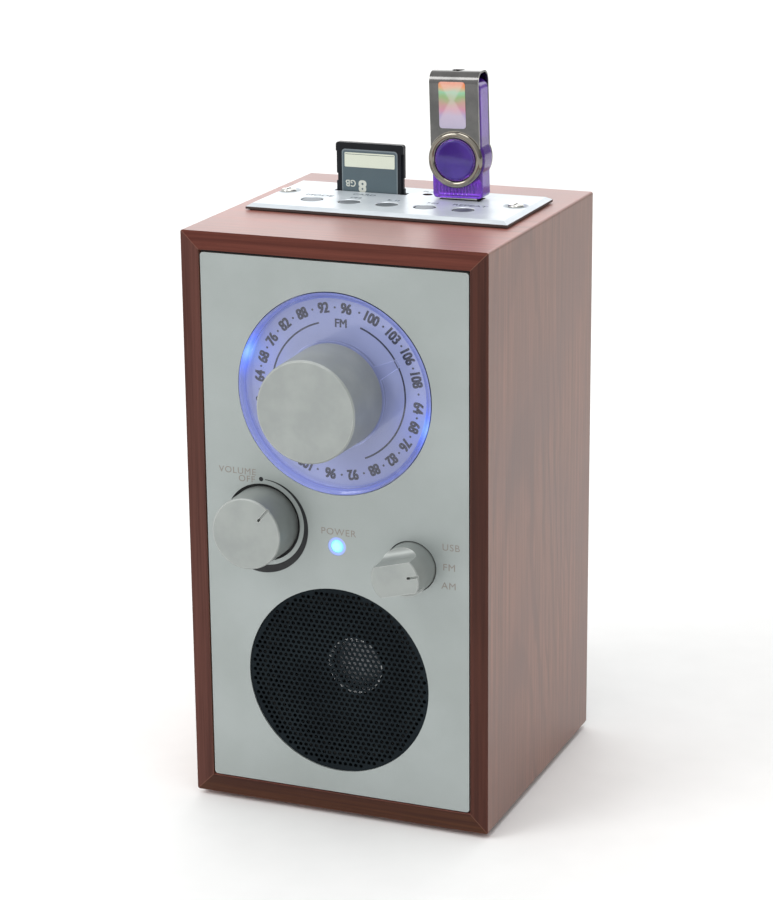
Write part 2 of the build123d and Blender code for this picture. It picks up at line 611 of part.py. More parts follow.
def speaker_moving():
    """Cone, surround, dust cap and voice coil, which move together."""
    edge, neck, paper = (25.2, 6.4), (8.4, 16.4), 0.5
    cone = turned(0, SPEAKER_HEIGHT, edge, (edge[0], edge[1] + paper), (neck[0], neck[1] + 0.6), neck)
    save("speaker_cone", cone)

    roll_middle, roll_outer, roll_inner, lip_front, lip_back = 27.4, 1.7, 1.3, 4.9, 5.3
    arch = Pos(roll_middle, lip_front) * (Circle(roll_outer) - Circle(roll_inner))
    arch &= Pos(roll_middle, lip_front - roll_outer / 2) * Rectangle(2 * roll_outer, roll_outer)
    outer_lip = Pos(29.35, (lip_front + lip_back) / 2) * Rectangle(1.3, lip_back - lip_front)
    inner_lip = Pos(25.4, (lip_front + edge[1]) / 2) * Rectangle(1.2, edge[1] - lip_front)
    profile = arch + outer_lip + inner_lip
    surround = revolve(profile, Axis.Y, 360)
    save("speaker_surround", Pos(0, 0, SPEAKER_HEIGHT) * surround)

    cap_rim, cap_peak, cap_sheet = 9.7, 12.6, 0.5
    rim_depth = edge[1] + (edge[0] - cap_rim) / (edge[0] - neck[0]) * (neck[1] - edge[1])
    rise = rim_depth - cap_peak
    cap_radius = (cap_rim**2 + rise**2) / (2 * rise)
    ball = Pos(0, cap_peak + cap_radius, 0) * (Sphere(cap_radius) - Sphere(cap_radius - cap_sheet))
    slice_box = Pos(0, cap_peak - 5 + (rise - 0.3) / 2, 0) * Box(40, 10 + rise - 0.3, 40)
    save("speaker_dust_cap", Pos(0, 0, SPEAKER_HEIGHT) * (ball & slice_box))
    save("voice_coil", tube(0, SPEAKER_HEIGHT, *COIL_RADII, neck[1], 28.0))


# ---- Electronics behind the front ----
def main_board():
    """The radio's board, screwed to the baffle's four bosses."""
    front, margin = MAIN_BOARD_FRONT, 4.0
    bottom = BOSS_HEIGHTS[0] - 10.0
    board = block(
        (-BOSS_X - margin, BOSS_X + margin), (front, MAIN_BOARD_BACK), (bottom, BOSS_HEIGHTS[1] + margin)
    )
    for x, height in BOARD_BOSSES:
        board -= rod(x, height, SCREW_RADIUS + SCREW_PLAY, front - CUT, MAIN_BOARD_BACK + CUT)
    save("main_board", board)


def front_screws():
    """The short screws that hold the dial cup, the speaker and the main board to the baffle."""
    seats = ((CUP_SCREWS, CUP_FLANGE_BACK), (SPEAKER_SCREWS, FLANGE_BACK), (BOARD_BOSSES, MAIN_BOARD_BACK))
    save("front_screws", *[
        screw_facing_back(x, depth, height, SHORT_SCREW) for places, depth in seats for x, height in places
    ])


AERIAL_HEIGHT, AERIAL_DEPTH = 158.0, 38.0
AERIAL_RADIUS, AERIAL_HALF_LENGTH = 4.0, 32.0


def ferrite_aerial():
    """The medium-wave aerial: a ferrite rod in two clips on the board, with its coil."""
    def along(radius, low, high):
        middle = Pos((low + high) / 2, AERIAL_DEPTH, AERIAL_HEIGHT)
        return middle * Rot(0, 90, 0) * Cylinder(radius, high - low)

    save("aerial_rod", along(AERIAL_RADIUS, -AERIAL_HALF_LENGTH, AERIAL_HALF_LENGTH))
    coil_start, coil_end = 2.0, 24.0
    winding = along(AERIAL_RADIUS + 1.0, coil_start, coil_end)
    save("aerial_coil", winding - along(AERIAL_RADIUS, coil_start - CUT, coil_end + CUT))
    clips = []
    half_width, half_height = 2.0, 6.0
    for x in (-26.0, 28.0):
        clip = block(
            (x - half_width, x + half_width),
            (MAIN_BOARD_BACK, AERIAL_DEPTH + 2),
            (AERIAL_HEIGHT - half_height, AERIAL_HEIGHT + half_height),
        )
        clips.append(clip - along(AERIAL_RADIUS, -AERIAL_HALF_LENGTH, AERIAL_HALF_LENGTH))
    save("aerial_clips", *clips)


# ---- Top control plate ----
CARD_SLOT_X = -13.8
FRAME_TOP, FRAME_BOTTOM = 188.2, 185.0
SWITCH_TIP = MEDIA_BOARD_TOP + 5.4
LED_X, LED_DEPTH, LED_RADIUS, LED_HOLE = 5.4, 67.8, 1.5, 1.65


def slot(x, depth, width, thickness, bottom, top):
    """An upright rectangular prism for a slot or what goes in one."""
    half, thin = width / 2, thickness / 2
    return block((x - half, x + half), (depth - thin, depth + thin), (bottom, top))


def media_plate():
    """A bevelled plate with countersunk screws, on a shallow rebate that leaves a shadow line."""
    foot, crown = CABINET_HEIGHT + PLATE_REBATE, PLATE_TOP - PLATE_BEVEL_DROP
    top = slot(PLATE_X, PLATE_MIDDLE, PLATE_WIDTH, PLATE_LENGTH, foot, crown)
    wide = Pos(PLATE_X, PLATE_MIDDLE, crown) * Rectangle(PLATE_WIDTH, PLATE_LENGTH)
    narrow = Pos(PLATE_X, PLATE_MIDDLE, PLATE_TOP) * Rectangle(
        PLATE_WIDTH - 2 * PLATE_BEVEL_WIDTH, PLATE_LENGTH - 2 * PLATE_BEVEL_WIDTH
    )
    top += loft([wide.face(), narrow.face()])
    top += slot(PLATE_X, PLATE_MIDDLE, PLATE_WIDTH - 2, PLATE_LENGTH - 2, CABINET_HEIGHT, foot)
    over, under = PLATE_TOP + CUT, CABINET_HEIGHT - CUT
    for x in BUTTON_XS:
        top -= post(x, BUTTON_DEPTH, BUTTON_RADIUS + BUTTON_PLAY, under, over)
        top -= Pos(x, BUTTON_DEPTH, PLATE_TOP) * Cone(BUTTON_RADIUS, BUTTON_RADIUS + 1.0, 1.0)
    top -= slot(CARD_SLOT_X, CARD_DEPTH, CARD_WIDTH + 1.6, CARD_THICKNESS + 0.9, under, over)
    top -= slot(PLUG_X, PLUG_DEPTH, PLUG_WIDTH + 2.0, PLUG_THICKNESS + 2.0, under, over)
    top -= post(LED_X, LED_DEPTH, LED_HOLE, under, over)
    sink = 1.0
    for x in MEDIA_SCREW_XS:
        top -= post(x, MEDIA_SCREW_DEPTH, SCREW_RADIUS + SCREW_PLAY, under, over)
        top -= Pos(x, MEDIA_SCREW_DEPTH, PLATE_TOP - sink / 2) * Cone(3.2, 4.2, sink)
    save("media_plate", top)
    seat = PLATE_TOP - sink
    save("media_screws", *[Pos(x, MEDIA_SCREW_DEPTH, seat) * screw(MEDIA_SCREW) for x in MEDIA_SCREW_XS])


def media_frame():
    """The moulded frame in the cut-out: it guides the buttons and carries the media board on posts."""
    half_width, half_length = CUTOUT_WIDTH / 2 - 0.4, CUTOUT_LENGTH / 2 - 0.4
    wide = (PLATE_X - half_width, PLATE_X + half_width)
    long = (PLATE_MIDDLE - half_length, PLATE_MIDDLE + half_length)
    frame = block(wide, long, (FRAME_BOTTOM, CABINET_HEIGHT))
    frame = fillet(frame.edges().filter_by(Axis.Z), CUTOUT_ROUND)
    wall = 1.2
    frame -= block(
        (wide[0] + wall, wide[1] - wall), (long[0] + wall, long[1] - wall), (FRAME_TOP, CABINET_HEIGHT + CUT)
    )
    under, over = FRAME_BOTTOM - CUT, FRAME_TOP + CUT
    for x in BUTTON_XS:
        frame -= post(x, BUTTON_DEPTH, STEM_RADIUS + 0.3, under, over)
    frame -= slot(CARD_SLOT_X, CARD_DEPTH, CARD_WIDTH + 2.2, CARD_THICKNESS + 1.5, under, over)
    frame -= slot(PLUG_X, PLUG_DEPTH, PLUG_WIDTH + 2.6, PLUG_THICKNESS + 2.4, under, over)
    frame -= post(LED_X, LED_DEPTH, LED_HOLE, under, over)
    post_radius, post_inset = 2.2, 2.4
    for x in (wide[0] + post_inset, wide[1] - post_inset):
        for depth in (long[0] + post_inset, long[1] - post_inset):
            frame += post(x, depth, post_radius, MEDIA_BOARD_TOP, FRAME_BOTTOM)
    save("media_frame", frame)


def media_electronics():
    """The board under the top, with its five switches, two sockets and small lamp."""
    board = slot(PLATE_X, PLATE_MIDDLE, 76.0, 38.0, MEDIA_BOARD_TOP - CIRCUIT_BOARD, MEDIA_BOARD_TOP)
    save("media_board", board)
    switches = []
    switch_size, switch_top = 6.0, MEDIA_BOARD_TOP + 3.5
    for x in BUTTON_XS:
        body = slot(x, BUTTON_DEPTH, switch_size, switch_size, MEDIA_BOARD_TOP, switch_top)
        switches.append(body + post(x, BUTTON_DEPTH, 1.7, switch_top, SWITCH_TIP))
    save("button_switches", *switches)
    lamp = post(LED_X, LED_DEPTH, LED_RADIUS, MEDIA_BOARD_TOP, PLATE_TOP - 0.4)
    save("mode_lamp", fillet(lamp.edges().sort_by(Axis.Z)[-1], 1.0))


def card_socket():
    """A standing box, open above, that the card slides into."""
    bottom, top = MEDIA_BOARD_TOP, FRAME_BOTTOM - 0.2
    socket = slot(CARD_X, CARD_DEPTH, CARD_WIDTH + 4.0, CARD_THICKNESS + 3.0, bottom, top)
    pocket = slot(CARD_X, CARD_DEPTH, CARD_WIDTH + 0.4, CARD_THICKNESS + 0.3, bottom + 1.5, top + CUT)
    save("card_socket", socket - pocket)


def usb_socket():
    """A standing USB socket: a sheet shell round a tongue."""
    bottom, top = MEDIA_BOARD_TOP, PLATE_TOP - 0.5
    floor = bottom + 1.2
    shell = slot(PLUG_X, PLUG_DEPTH, PLUG_WIDTH + 1.5, PLUG_THICKNESS + 1.3, bottom, top)
    shell -= slot(PLUG_X, PLUG_DEPTH, PLUG_WIDTH + 0.7, PLUG_THICKNESS + 0.5, floor, top + CUT)
    tongue_width, tongue_thickness, tongue_drop = 8.4, 1.2, 3.0
    tongue = slot(PLUG_X, PLUG_DEPTH - 1.0, tongue_width, tongue_thickness, floor, top - tongue_drop)
    save("usb_socket", shell + tongue)


def buttons():
    """Round push buttons: a shallow dome, a flange under the plate and a stem to the switch."""
    crown = PLATE_TOP - 0.1
    flange_top = CABINET_HEIGHT - 0.1
    flange_bottom = flange_top - 1.0
    for name, x in zip(BUTTON_NAMES, BUTTON_XS):
        cap = post(x, BUTTON_DEPTH, BUTTON_RADIUS, flange_top - 0.1, crown)
        cap = fillet(cap.edges().sort_by(Axis.Z)[-1], 0.5)
        flange = post(x, BUTTON_DEPTH, BUTTON_RADIUS + 0.9, flange_bottom, flange_top)
        stem = post(x, BUTTON_DEPTH, STEM_RADIUS, SWITCH_TIP + 0.6, flange_bottom)
        save(f"button_{name}", cap + flange + stem)


# ---- Removable memory card and USB stick ----
def memory_card():
    """A full-size card with a cut corner, two notches, thin rails and a recess for its label."""
    bottom = CARD_TOP - CARD_LENGTH
    left, right = CARD_X - CARD_WIDTH / 2, CARD_X + CARD_WIDTH / 2
    face = CARD_DEPTH - CARD_THICKNESS / 2
    front, back = face - CUT, CARD_DEPTH + CARD_THICKNESS / 2 + CUT
    card = slot(CARD_X, CARD_DEPTH, CARD_WIDTH, CARD_THICKNESS, bottom, CARD_TOP)
    card = fillet(card.edges().filter_by(Axis.Y), 0.9)
    cut_corner = 4.0
    card -= prism(
        [
            (right - cut_corner, bottom), (right, bottom - CUT),
            (right + CUT, bottom), (right, bottom + cut_corner),
        ],
        front,
        back,
    )
    notch, rail, rail_thickness = 0.4, 0.8, 1.4
    card -= block((right - notch, right + CUT), (front, back), (CARD_TOP - 14.5, CARD_TOP - 11.0))
    card -= block((left - CUT, left + notch), (front, back), (CARD_TOP - 13.0, CARD_TOP - 10.5))
    rail_front = CARD_DEPTH + CARD_THICKNESS / 2 - rail_thickness
    for low, high in ((left - CUT, left + rail), (right - rail, right + CUT)):
        card -= block((low, high), (front, rail_front), (bottom - CUT, CARD_TOP - 3.0))
    margin, recess, label_top, label_height = 1.9, 0.15, CARD_TOP - 2.0, 21.6
    label = (label_top - label_height, label_top)
    card -= block((left + margin, right - margin), (front, face + recess), label)
    save("memory_card", card)


def leaning(shape):
    """The stick leans a little in its socket, about the middle of its plug."""
    return turn_about(PLUG_X, STICK_BASE - PLUG_LENGTH / 2, STICK_LEAN, shape)


def usb_stick():
    """Translucent body with a round boss on each face, and a hollow metal plug."""
    body = slot(PLUG_X, PLUG_DEPTH, STICK_WIDTH, STICK_THICKNESS, STICK_BASE, STICK_BASE + STICK_LENGTH)
    corners = body.edges().filter_by(Axis.Y).sort_by(Axis.Z)
    body = fillet(corners[:2], STICK_BOTTOM_ROUND)
    body = fillet(body.edges().filter_by(Axis.Y).sort_by(Axis.Z)[-2:], STICK_TOP_ROUND)
    body += rod(PLUG_X, PIVOT_HEIGHT, RING_RADIUS + 0.35, STICK_FRONT, STICK_BACK)
    faces = body.edges().group_by(Axis.Y)
    body = fillet(faces[0] + faces[-1], 0.9)
    boss = COVER_GAP + COVER_SHEET + 0.5
    body += rod(PLUG_X, PIVOT_HEIGHT, PIVOT_RADIUS, STICK_FRONT - boss, STICK_BACK + boss)
    save("stick_body", leaning(body))

    bottom = STICK_BASE - PLUG_LENGTH
    wall, insert = 0.4, 2.2
    plug = slot(PLUG_X, PLUG_DEPTH, PLUG_WIDTH, PLUG_THICKNESS, bottom, STICK_BASE)
    half = PLUG_WIDTH / 2 - wall
    cavity = (PLUG_DEPTH - PLUG_THICKNESS / 2 + wall, PLUG_DEPTH + PLUG_THICKNESS / 2 - insert)
    plug -= block((PLUG_X - half, PLUG_X + half), cavity, (bottom - CUT, STICK_BASE - 2.0))
    save("stick_plug", leaning(plug))


def stick_cover():
    """A swivel cover: one strip bent over the stick's end, turning on the round bosses."""
    gap, sheet = COVER_GAP, COVER_SHEET
    half = COVER_WIDTH / 2
    outer = (STICK_FRONT - gap - sheet, STICK_BACK + gap + sheet)
    inner = (STICK_FRONT - gap, STICK_BACK + gap)
    top = PIVOT_HEIGHT + COVER_REACH
    wide = (PLUG_X - half, PLUG_X + half)
    outside = block(wide, outer, (PIVOT_HEIGHT, top))
    outside = fillet(outside.edges().filter_by(Axis.X).sort_by(Axis.Z)[-2:], COVER_BEND)
    inside = block((wide[0] - CUT, wide[1] + CUT), inner, (PIVOT_HEIGHT - 20, top - sheet))
    inside = fillet(inside.edges().filter_by(Axis.X).sort_by(Axis.Z)[-2:], COVER_BEND - sheet)
    strip = outside - inside
    cord_hole = 2.0
    strip -= post(PLUG_X, PLUG_DEPTH, cord_hole, top - 2 * sheet, top + CUT)
    for low, high in ((outer[0], inner[0]), (inner[1], outer[1])):
        strip += rod(PLUG_X, PIVOT_HEIGHT, RING_RADIUS - 0.6, low, high)
    ring_tube = 1.15
    between = block((PLUG_X - 20, PLUG_X + 20), inner, (PIVOT_HEIGHT - 20, top))
    for depth in (outer[0] + 0.1, outer[1] - 0.1):
        circle = Pos(PLUG_X, depth, PIVOT_HEIGHT) * Rot(90, 0, 0)
        ring = circle * Torus(RING_RADIUS - ring_tube, ring_tube)
        strip += ring - between
    strip -= rod(PLUG_X, PIVOT_HEIGHT, PIVOT_RADIUS + PIVOT_PLAY, outer[0] - 3, outer[1] + 3)
    save("stick_cover", leaning(strip))


os.makedirs("parts", exist_ok=True)
cabinet_boards()
corner_blocks()
feet()
rear_cover()
rear_sockets()
front_panel()
front_baffle()
dial_lens()
dial_scale()
dial_cup()
dial_leds()
tuning_capacitor()
tuning_controls()
volume_controls()
band_controls()
control_nuts()
power_lamp()
speaker_front()
speaker_basket()
speaker_magnet()
speaker_moving()
main_board()
front_screws()
ferrite_aerial()
media_plate()
media_frame()
media_electronics()
card_socket()
usb_socket()
buttons()
memory_card()
usb_stick()
stick_cover()
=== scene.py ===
import json
import math

import bmesh
import bpy
from mathutils import Matrix, Vector


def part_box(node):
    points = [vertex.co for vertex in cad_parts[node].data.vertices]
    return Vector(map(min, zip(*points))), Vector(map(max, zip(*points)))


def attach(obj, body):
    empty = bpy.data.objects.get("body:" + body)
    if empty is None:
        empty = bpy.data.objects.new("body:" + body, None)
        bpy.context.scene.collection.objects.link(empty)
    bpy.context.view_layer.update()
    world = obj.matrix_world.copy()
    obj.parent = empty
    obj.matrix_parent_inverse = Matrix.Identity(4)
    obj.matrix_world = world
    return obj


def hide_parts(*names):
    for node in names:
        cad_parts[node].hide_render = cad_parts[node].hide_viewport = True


# Looks for a tabletop radio: veneered cabinet, satin front panel, lit tuning dial, perforated
# speaker grille, and a top plate with a memory card and a USB stick standing in it.
# Everything is in metres in the frame's own axes: +X right, +Y back, +Z up.

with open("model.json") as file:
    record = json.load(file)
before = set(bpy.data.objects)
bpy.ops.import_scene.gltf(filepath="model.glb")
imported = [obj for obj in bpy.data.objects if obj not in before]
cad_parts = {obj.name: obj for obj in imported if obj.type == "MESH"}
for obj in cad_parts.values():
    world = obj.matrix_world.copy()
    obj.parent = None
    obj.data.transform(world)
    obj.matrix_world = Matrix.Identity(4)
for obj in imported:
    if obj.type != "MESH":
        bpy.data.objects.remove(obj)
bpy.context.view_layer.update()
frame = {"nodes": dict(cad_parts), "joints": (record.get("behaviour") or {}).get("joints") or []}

MM = 0.001
RIGHT, BACK, UP = Vector((1, 0, 0)), Vector((0, 1, 0)), Vector((0, 0, 1))


# ---- Places taken from the frame ----
def low_of(node):
    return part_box(node)[0]


def high_of(node):
    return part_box(node)[1]


def middle(node):
    return (low_of(node) + high_of(node)) / 2


def joint(name):
    return next(entry for entry in frame["joints"] if entry["name"] == name)


CABINET_HALF = high_of("board_right").x
CABINET_FOOT = low_of("board_bottom").z
CABINET_CROWN = high_of("board_top").z
PANEL_FACE = low_of("front_panel").y
SCALE_FACE = low_of("dial_scale").y
DIAL = middle("dial_lens")
DIAL_RADIUS = high_of("dial_lens").x - DIAL.x
VOLUME = middle("volume_knob")
BAND = middle("band_knob")
LAMP = middle("power_lamp")
GRILLE = middle("speaker_grille")
GRILLE_RADIUS = high_of("speaker_grille").x - GRILLE.x
PLATE_FACE = high_of("media_plate").z
CARD = middle("memory_card")
RING = Vector(joint("cover_swivel")["pos_m"])
STICK_UP = Vector(joint("stick_pull")["axis"])
STICK_RIGHT = BACK.cross(STICK_UP)
REAR_FACE = high_of("rear_cover").y


# ---- Node helpers ----
def colour(code):
    """A linear colour from an sRGB code such as "#a9b1ac"."""
    parts = [int(code[start:start + 2], 16) / 255 for start in (1, 3, 5)]
    linear = [part / 12.92 if part <= 0.04045 else ((part + 0.055) / 1.055) ** 2.4 for part in parts]
    return (*linear, 1.0)


BLACK, WHITE = colour("#000000"), colour("#ffffff")


class Nodes:
    """Adds nodes to one shader tree. An input is a value or another node's output."""

    def __init__(self, tree):
        self.tree = tree

    def feed(self, socket, value):
        if isinstance(value, bpy.types.NodeSocket):
            self.tree.links.new(value, socket)
        else:
            socket.default_value = value

    def add(self, kind, inputs=None, **settings):
        node = self.tree.nodes.new(f"ShaderNode{kind}")
        for name, value in settings.items():
            setattr(node, name, value)
        for name, value in (inputs or {}).items():
            self.feed(node.inputs[name], value)
        return node

    def maths(self, operation, *values):
        node = self.add("Math", operation=operation)
        for socket, value in zip(node.inputs, values):
            self.feed(socket, value)
        return node.outputs[0]

    def vector(self, operation, *values):
        node = self.add("VectorMath", operation=operation)
        for socket, value in zip(node.inputs, values):
            self.feed(socket, value)
        is_number = operation in ("DOT_PRODUCT", "LENGTH", "DISTANCE")
        return node.outputs["Value" if is_number else "Vector"]

    def ramp(self, value, low, high, first=0.0, last=1.0):
        """Goes smoothly from first to last as value goes from low to high."""
        limits = {"Value": value, "From Min": low, "From Max": high, "To Min": first, "To Max": last}
        return self.add("MapRange", limits, interpolation_type="SMOOTHSTEP").outputs["Result"]

    def blend(self, factor, first, second, kind="MIX"):
        node = self.add("Mix", data_type="RGBA", blend_type=kind)
        for place, value in ((0, factor), (6, first), (7, second)):
            self.feed(node.inputs[place], value)
        return node.outputs[2]

    def noise(self, position, scale, detail=2.0, roughness=0.5):
        """Noise over the position; scale is a number or one for each direction, in cells per metre."""
        steps = scale if isinstance(scale, tuple) else (scale, scale, scale)
        scaled = self.vector("MULTIPLY", position, steps)
        settings = {"Vector": scaled, "Scale": 1.0, "Detail": detail, "Roughness": roughness}
        return self.add("TexNoise", settings).outputs[0]

    def split(self, position):
        return self.add("SeparateXYZ", {"Vector": position}).outputs

    def join(self, x, y, z):
        return self.add("CombineXYZ", {"X": x, "Y": y, "Z": z}).outputs[0]

    def group(self, tree, inputs):
        node = self.tree.nodes.new("ShaderNodeGroup")
        node.node_tree = tree
        for name, value in inputs.items():
            self.feed(node.inputs[name], value)
        return node.outputs


def new_group(name, inputs, outputs):
    """A shader node group. Inputs are (label, default); a default of None makes a vector input."""
    tree = bpy.data.node_groups.new(name, "ShaderNodeTree")
    for label, value in inputs:
        kind = "NodeSocketVector" if value is None or isinstance(value, tuple) else "NodeSocketFloat"
        socket = tree.interface.new_socket(label, in_out="INPUT", socket_type=kind)
        if value is not None:
            socket.default_value = value
    for label in outputs:
        tree.interface.new_socket(label, in_out="OUTPUT", socket_type="NodeSocketFloat")
    given = tree.nodes.new("NodeGroupInput").outputs
    result = tree.nodes.new("NodeGroupOutput").inputs
    return Nodes(tree), given, result


# ---- Shared effects ----
# Factors that blank out the axis a piece is turned about: Y if it faces the front, Z if it faces up.
FROM_FRONT = (1.0, 0.0, 1.0)
FROM_ABOVE = (1.0, 1.0, 0.0)


def make_edge_wear():
    """A mask that is white along sharp edges and fades over the given width."""
    nodes, given, result = new_group("edge_wear", [("Position", None), ("Width", 0.3 * MM)], ["Mask"])
    bevel = nodes.add("Bevel", {"Radius": given["Width"]}, samples=4).outputs[0]
    flat = nodes.add("NewGeometry").outputs["Normal"]
    turned = nodes.vector("DOT_PRODUCT", bevel, flat)
    edge = nodes.ramp(turned, 0.995, 0.85)
    patches = nodes.ramp(nodes.noise(given["Position"], 180.0, 3.0), 0.35, 0.6, 0.45, 1.0)
    nodes.feed(result["Mask"], nodes.maths("MULTIPLY", edge, patches))
    return nodes.tree


def make_fine_texture():
    """Relief and slow variation of a moulded, sprayed or blasted surface."""
    inputs = [("Position", None), ("Grain", 6000.0), ("Patch", 60.0)]
    nodes, given, result = new_group("fine_texture", inputs, ["Height", "Patches"])
    fine = nodes.vector("SCALE", given["Position"])
    nodes.feed(fine.node.inputs["Scale"], given["Grain"])
    slow = nodes.vector("SCALE", given["Position"])
    nodes.feed(slow.node.inputs["Scale"], given["Patch"])
    nodes.feed(result["Height"], nodes.noise(fine, 1.0, 3.0, 0.6))
    nodes.feed(result["Patches"], nodes.noise(slow, 1.0, 4.0, 0.55))
    return nodes.tree


def make_dust():
    """A mask of light dust on what faces up."""
    nodes, given, result = new_group("dust", [("Position", None)], ["Mask"])
    facing = nodes.split(nodes.add("NewGeometry").outputs["Normal"])["Z"]
    specks = nodes.ramp(nodes.noise(given["Position"], 2600.0, 4.0, 0.7), 0.56, 0.74)
    veil = nodes.ramp(nodes.noise(given["Position"], 45.0, 3.0), 0.35, 0.75)
    cover = nodes.maths("MULTIPLY", nodes.ramp(facing, 0.3, 0.95), veil)
    nodes.feed(result["Mask"], nodes.maths("MULTIPLY", specks, cover))
    return nodes.tree


def make_turning_lines():
    """Fine rings left by turning, about an axis through Centre; Across blanks out the axis direction."""
    inputs = [("Position", None), ("Centre", None), ("Across", FROM_FRONT), ("Pitch", 0.15 * MM)]
    nodes, given, result = new_group("turning_lines", inputs, ["Height", "Radius"])
    offset = nodes.vector("SUBTRACT", given["Position"], given["Centre"])
    radius = nodes.vector("LENGTH", nodes.vector("MULTIPLY", offset, given["Across"]))
    turns = nodes.maths("DIVIDE", radius, given["Pitch"])
    uneven = nodes.noise(nodes.join(turns, 0.0, 0.0), 1.0, 2.0)
    nodes.feed(result["Height"], uneven)
    nodes.feed(result["Radius"], radius)
    return nodes.tree


def make_veneer_figure():
    """Grain of a sliced veneer. Position is (across, through, along the grain)."""
    inputs = [("Position", None), ("Arch Middle", 0.0), ("Arch Foot", 0.0)]
    nodes, given, result = new_group("veneer_figure", inputs, ["Figure", "Streaks", "Pores"])
    position = given["Position"]
    sway = nodes.maths("SUBTRACT", nodes.noise(position, (26.0, 26.0, 10.0), 3.0), 0.5)
    place = nodes.split(position)
    across = nodes.maths("SUBTRACT", place["X"], given["Arch Middle"])
    across = nodes.maths("ADD", across, nodes.maths("MULTIPLY", sway, 0.018))
    along = nodes.maths("SUBTRACT", place["Z"], given["Arch Foot"])
    spread = nodes.maths("MULTIPLY", nodes.maths("MULTIPLY", across, across), 2300.0)
    rings = nodes.maths("ADD", spread, nodes.maths("MULTIPLY", along, 15.0))
    rings = nodes.maths("ADD", rings, nodes.maths("MULTIPLY", sway, 1.6))
    wave = nodes.maths("SINE", nodes.maths("MULTIPLY", rings, math.tau))
    fading = nodes.ramp(nodes.noise(position, (30.0, 30.0, 9.0), 2.0), 0.38, 0.66)
    nodes.feed(result["Figure"], nodes.maths("MULTIPLY", nodes.ramp(wave, 0.1, 1.0), fading))
    nodes.feed(result["Streaks"], nodes.noise(position, (620.0, 620.0, 11.0), 5.0, 0.62))
    dashes = nodes.noise(position, (2300.0, 2300.0, 95.0), 2.0, 0.5)
    nodes.feed(result["Pores"], nodes.ramp(dashes, 0.58, 0.70))
    return nodes.tree


EDGE_WEAR = make_edge_wear()
FINE_TEXTURE = make_fine_texture()
DUST = make_dust()
TURNING_LINES = make_turning_lines()
VENEER_FIGURE = make_veneer_figure()


class Finish(Nodes):
    """A material with one Principled shader. Settings are its sockets that stay the same all over."""

    def __init__(self, name, **settings):
        self.material = bpy.data.materials.new(name)
        self.material.use_nodes = True
        super().__init__(self.material.node_tree)
        self.shader = self.tree.nodes["Principled BSDF"]
        for socket, value in settings.items():
            self.shader.inputs[socket.replace("_", " ")].default_value = value
        self.position = self.add("TexCoord").outputs["Object"]

    def set(self, socket, value):
        self.feed(self.shader.inputs[socket], value)

    def bump(self, height, distance, strength=1.0):
        """Relief of that depth, in metres."""
        settings = {"Height": height, "Distance": distance, "Strength": strength}
        self.set("Normal", self.add("Bump", settings).outputs[0])

    def fine_texture(self, grain, patch):
        """Grain and patch are in cells per metre."""
        return self.group(FINE_TEXTURE, {"Position": self.position, "Grain": grain, "Patch": patch})

    def turning_lines(self, centre, pitch, across=FROM_FRONT):
        inputs = {"Position": self.position, "Centre": centre, "Across": across, "Pitch": pitch}
        return self.group(TURNING_LINES, inputs)

    def edge_wear(self, width):
        return self.group(EDGE_WEAR, {"Position": self.position, "Width": width})["Mask"]

    def dust(self):
        return self.group(DUST, {"Position": self.position})["Mask"]

    def roughness(self, mask, smoothest, roughest):
        self.set("Roughness", self.ramp(mask, 0.3, 0.7, smoothest, roughest))

    def facing(self, axis):
        """How squarely the surface faces that axis, either way."""
        return self.maths("ABSOLUTE", self.split(self.add("NewGeometry").outputs["Normal"])[axis])

    def two_tones(self, mask, dark, light, low=0.3, high=0.7):
        """Goes from the dark to the light colour code as the mask goes from low to high."""
        return self.blend(self.ramp(mask, low, high), colour(dark), colour(light))

    def over(self, base, mask, share, code):
        """Lays that share of a colour over the base where the mask is white."""
        return self.blend(self.maths("MULTIPLY", mask, share), base, colour(code))

    def let_lamps_through(self):
        """Clear plastic that doesn't darken what is behind it."""
        output = self.tree.nodes["Material Output"]
        path = self.add("LightPath").outputs["Is Shadow Ray"]
        clear = self.add("BsdfTransparent").outputs[0]
        mixed = self.add("MixShader", {"Fac": path})
        self.feed(mixed.inputs[1], self.shader.outputs[0])
        self.feed(mixed.inputs[2], clear)
        self.feed(output.inputs["Surface"], mixed.outputs[0])


# ---- Wood ----
def mitre_line(finish):
    """A mask of the glue line where the boards meet at 45 degrees."""
    place = finish.split(finish.position)
    from_side = finish.maths("SUBTRACT", CABINET_HALF, finish.maths("ABSOLUTE", place["X"]))
    from_foot = finish.maths("SUBTRACT", place["Z"], CABINET_FOOT)
    from_crown = finish.maths("SUBTRACT", CABINET_CROWN, place["Z"])
    nearest = finish.maths("MINIMUM", from_foot, from_crown)
    apart = finish.maths("ABSOLUTE", finish.maths("SUBTRACT", from_side, nearest))
    return finish.ramp(apart, 0.15 * MM, 0.05 * MM)


COAT_ON_FACES, COAT_ON_EDGES = 0.9, 0.08


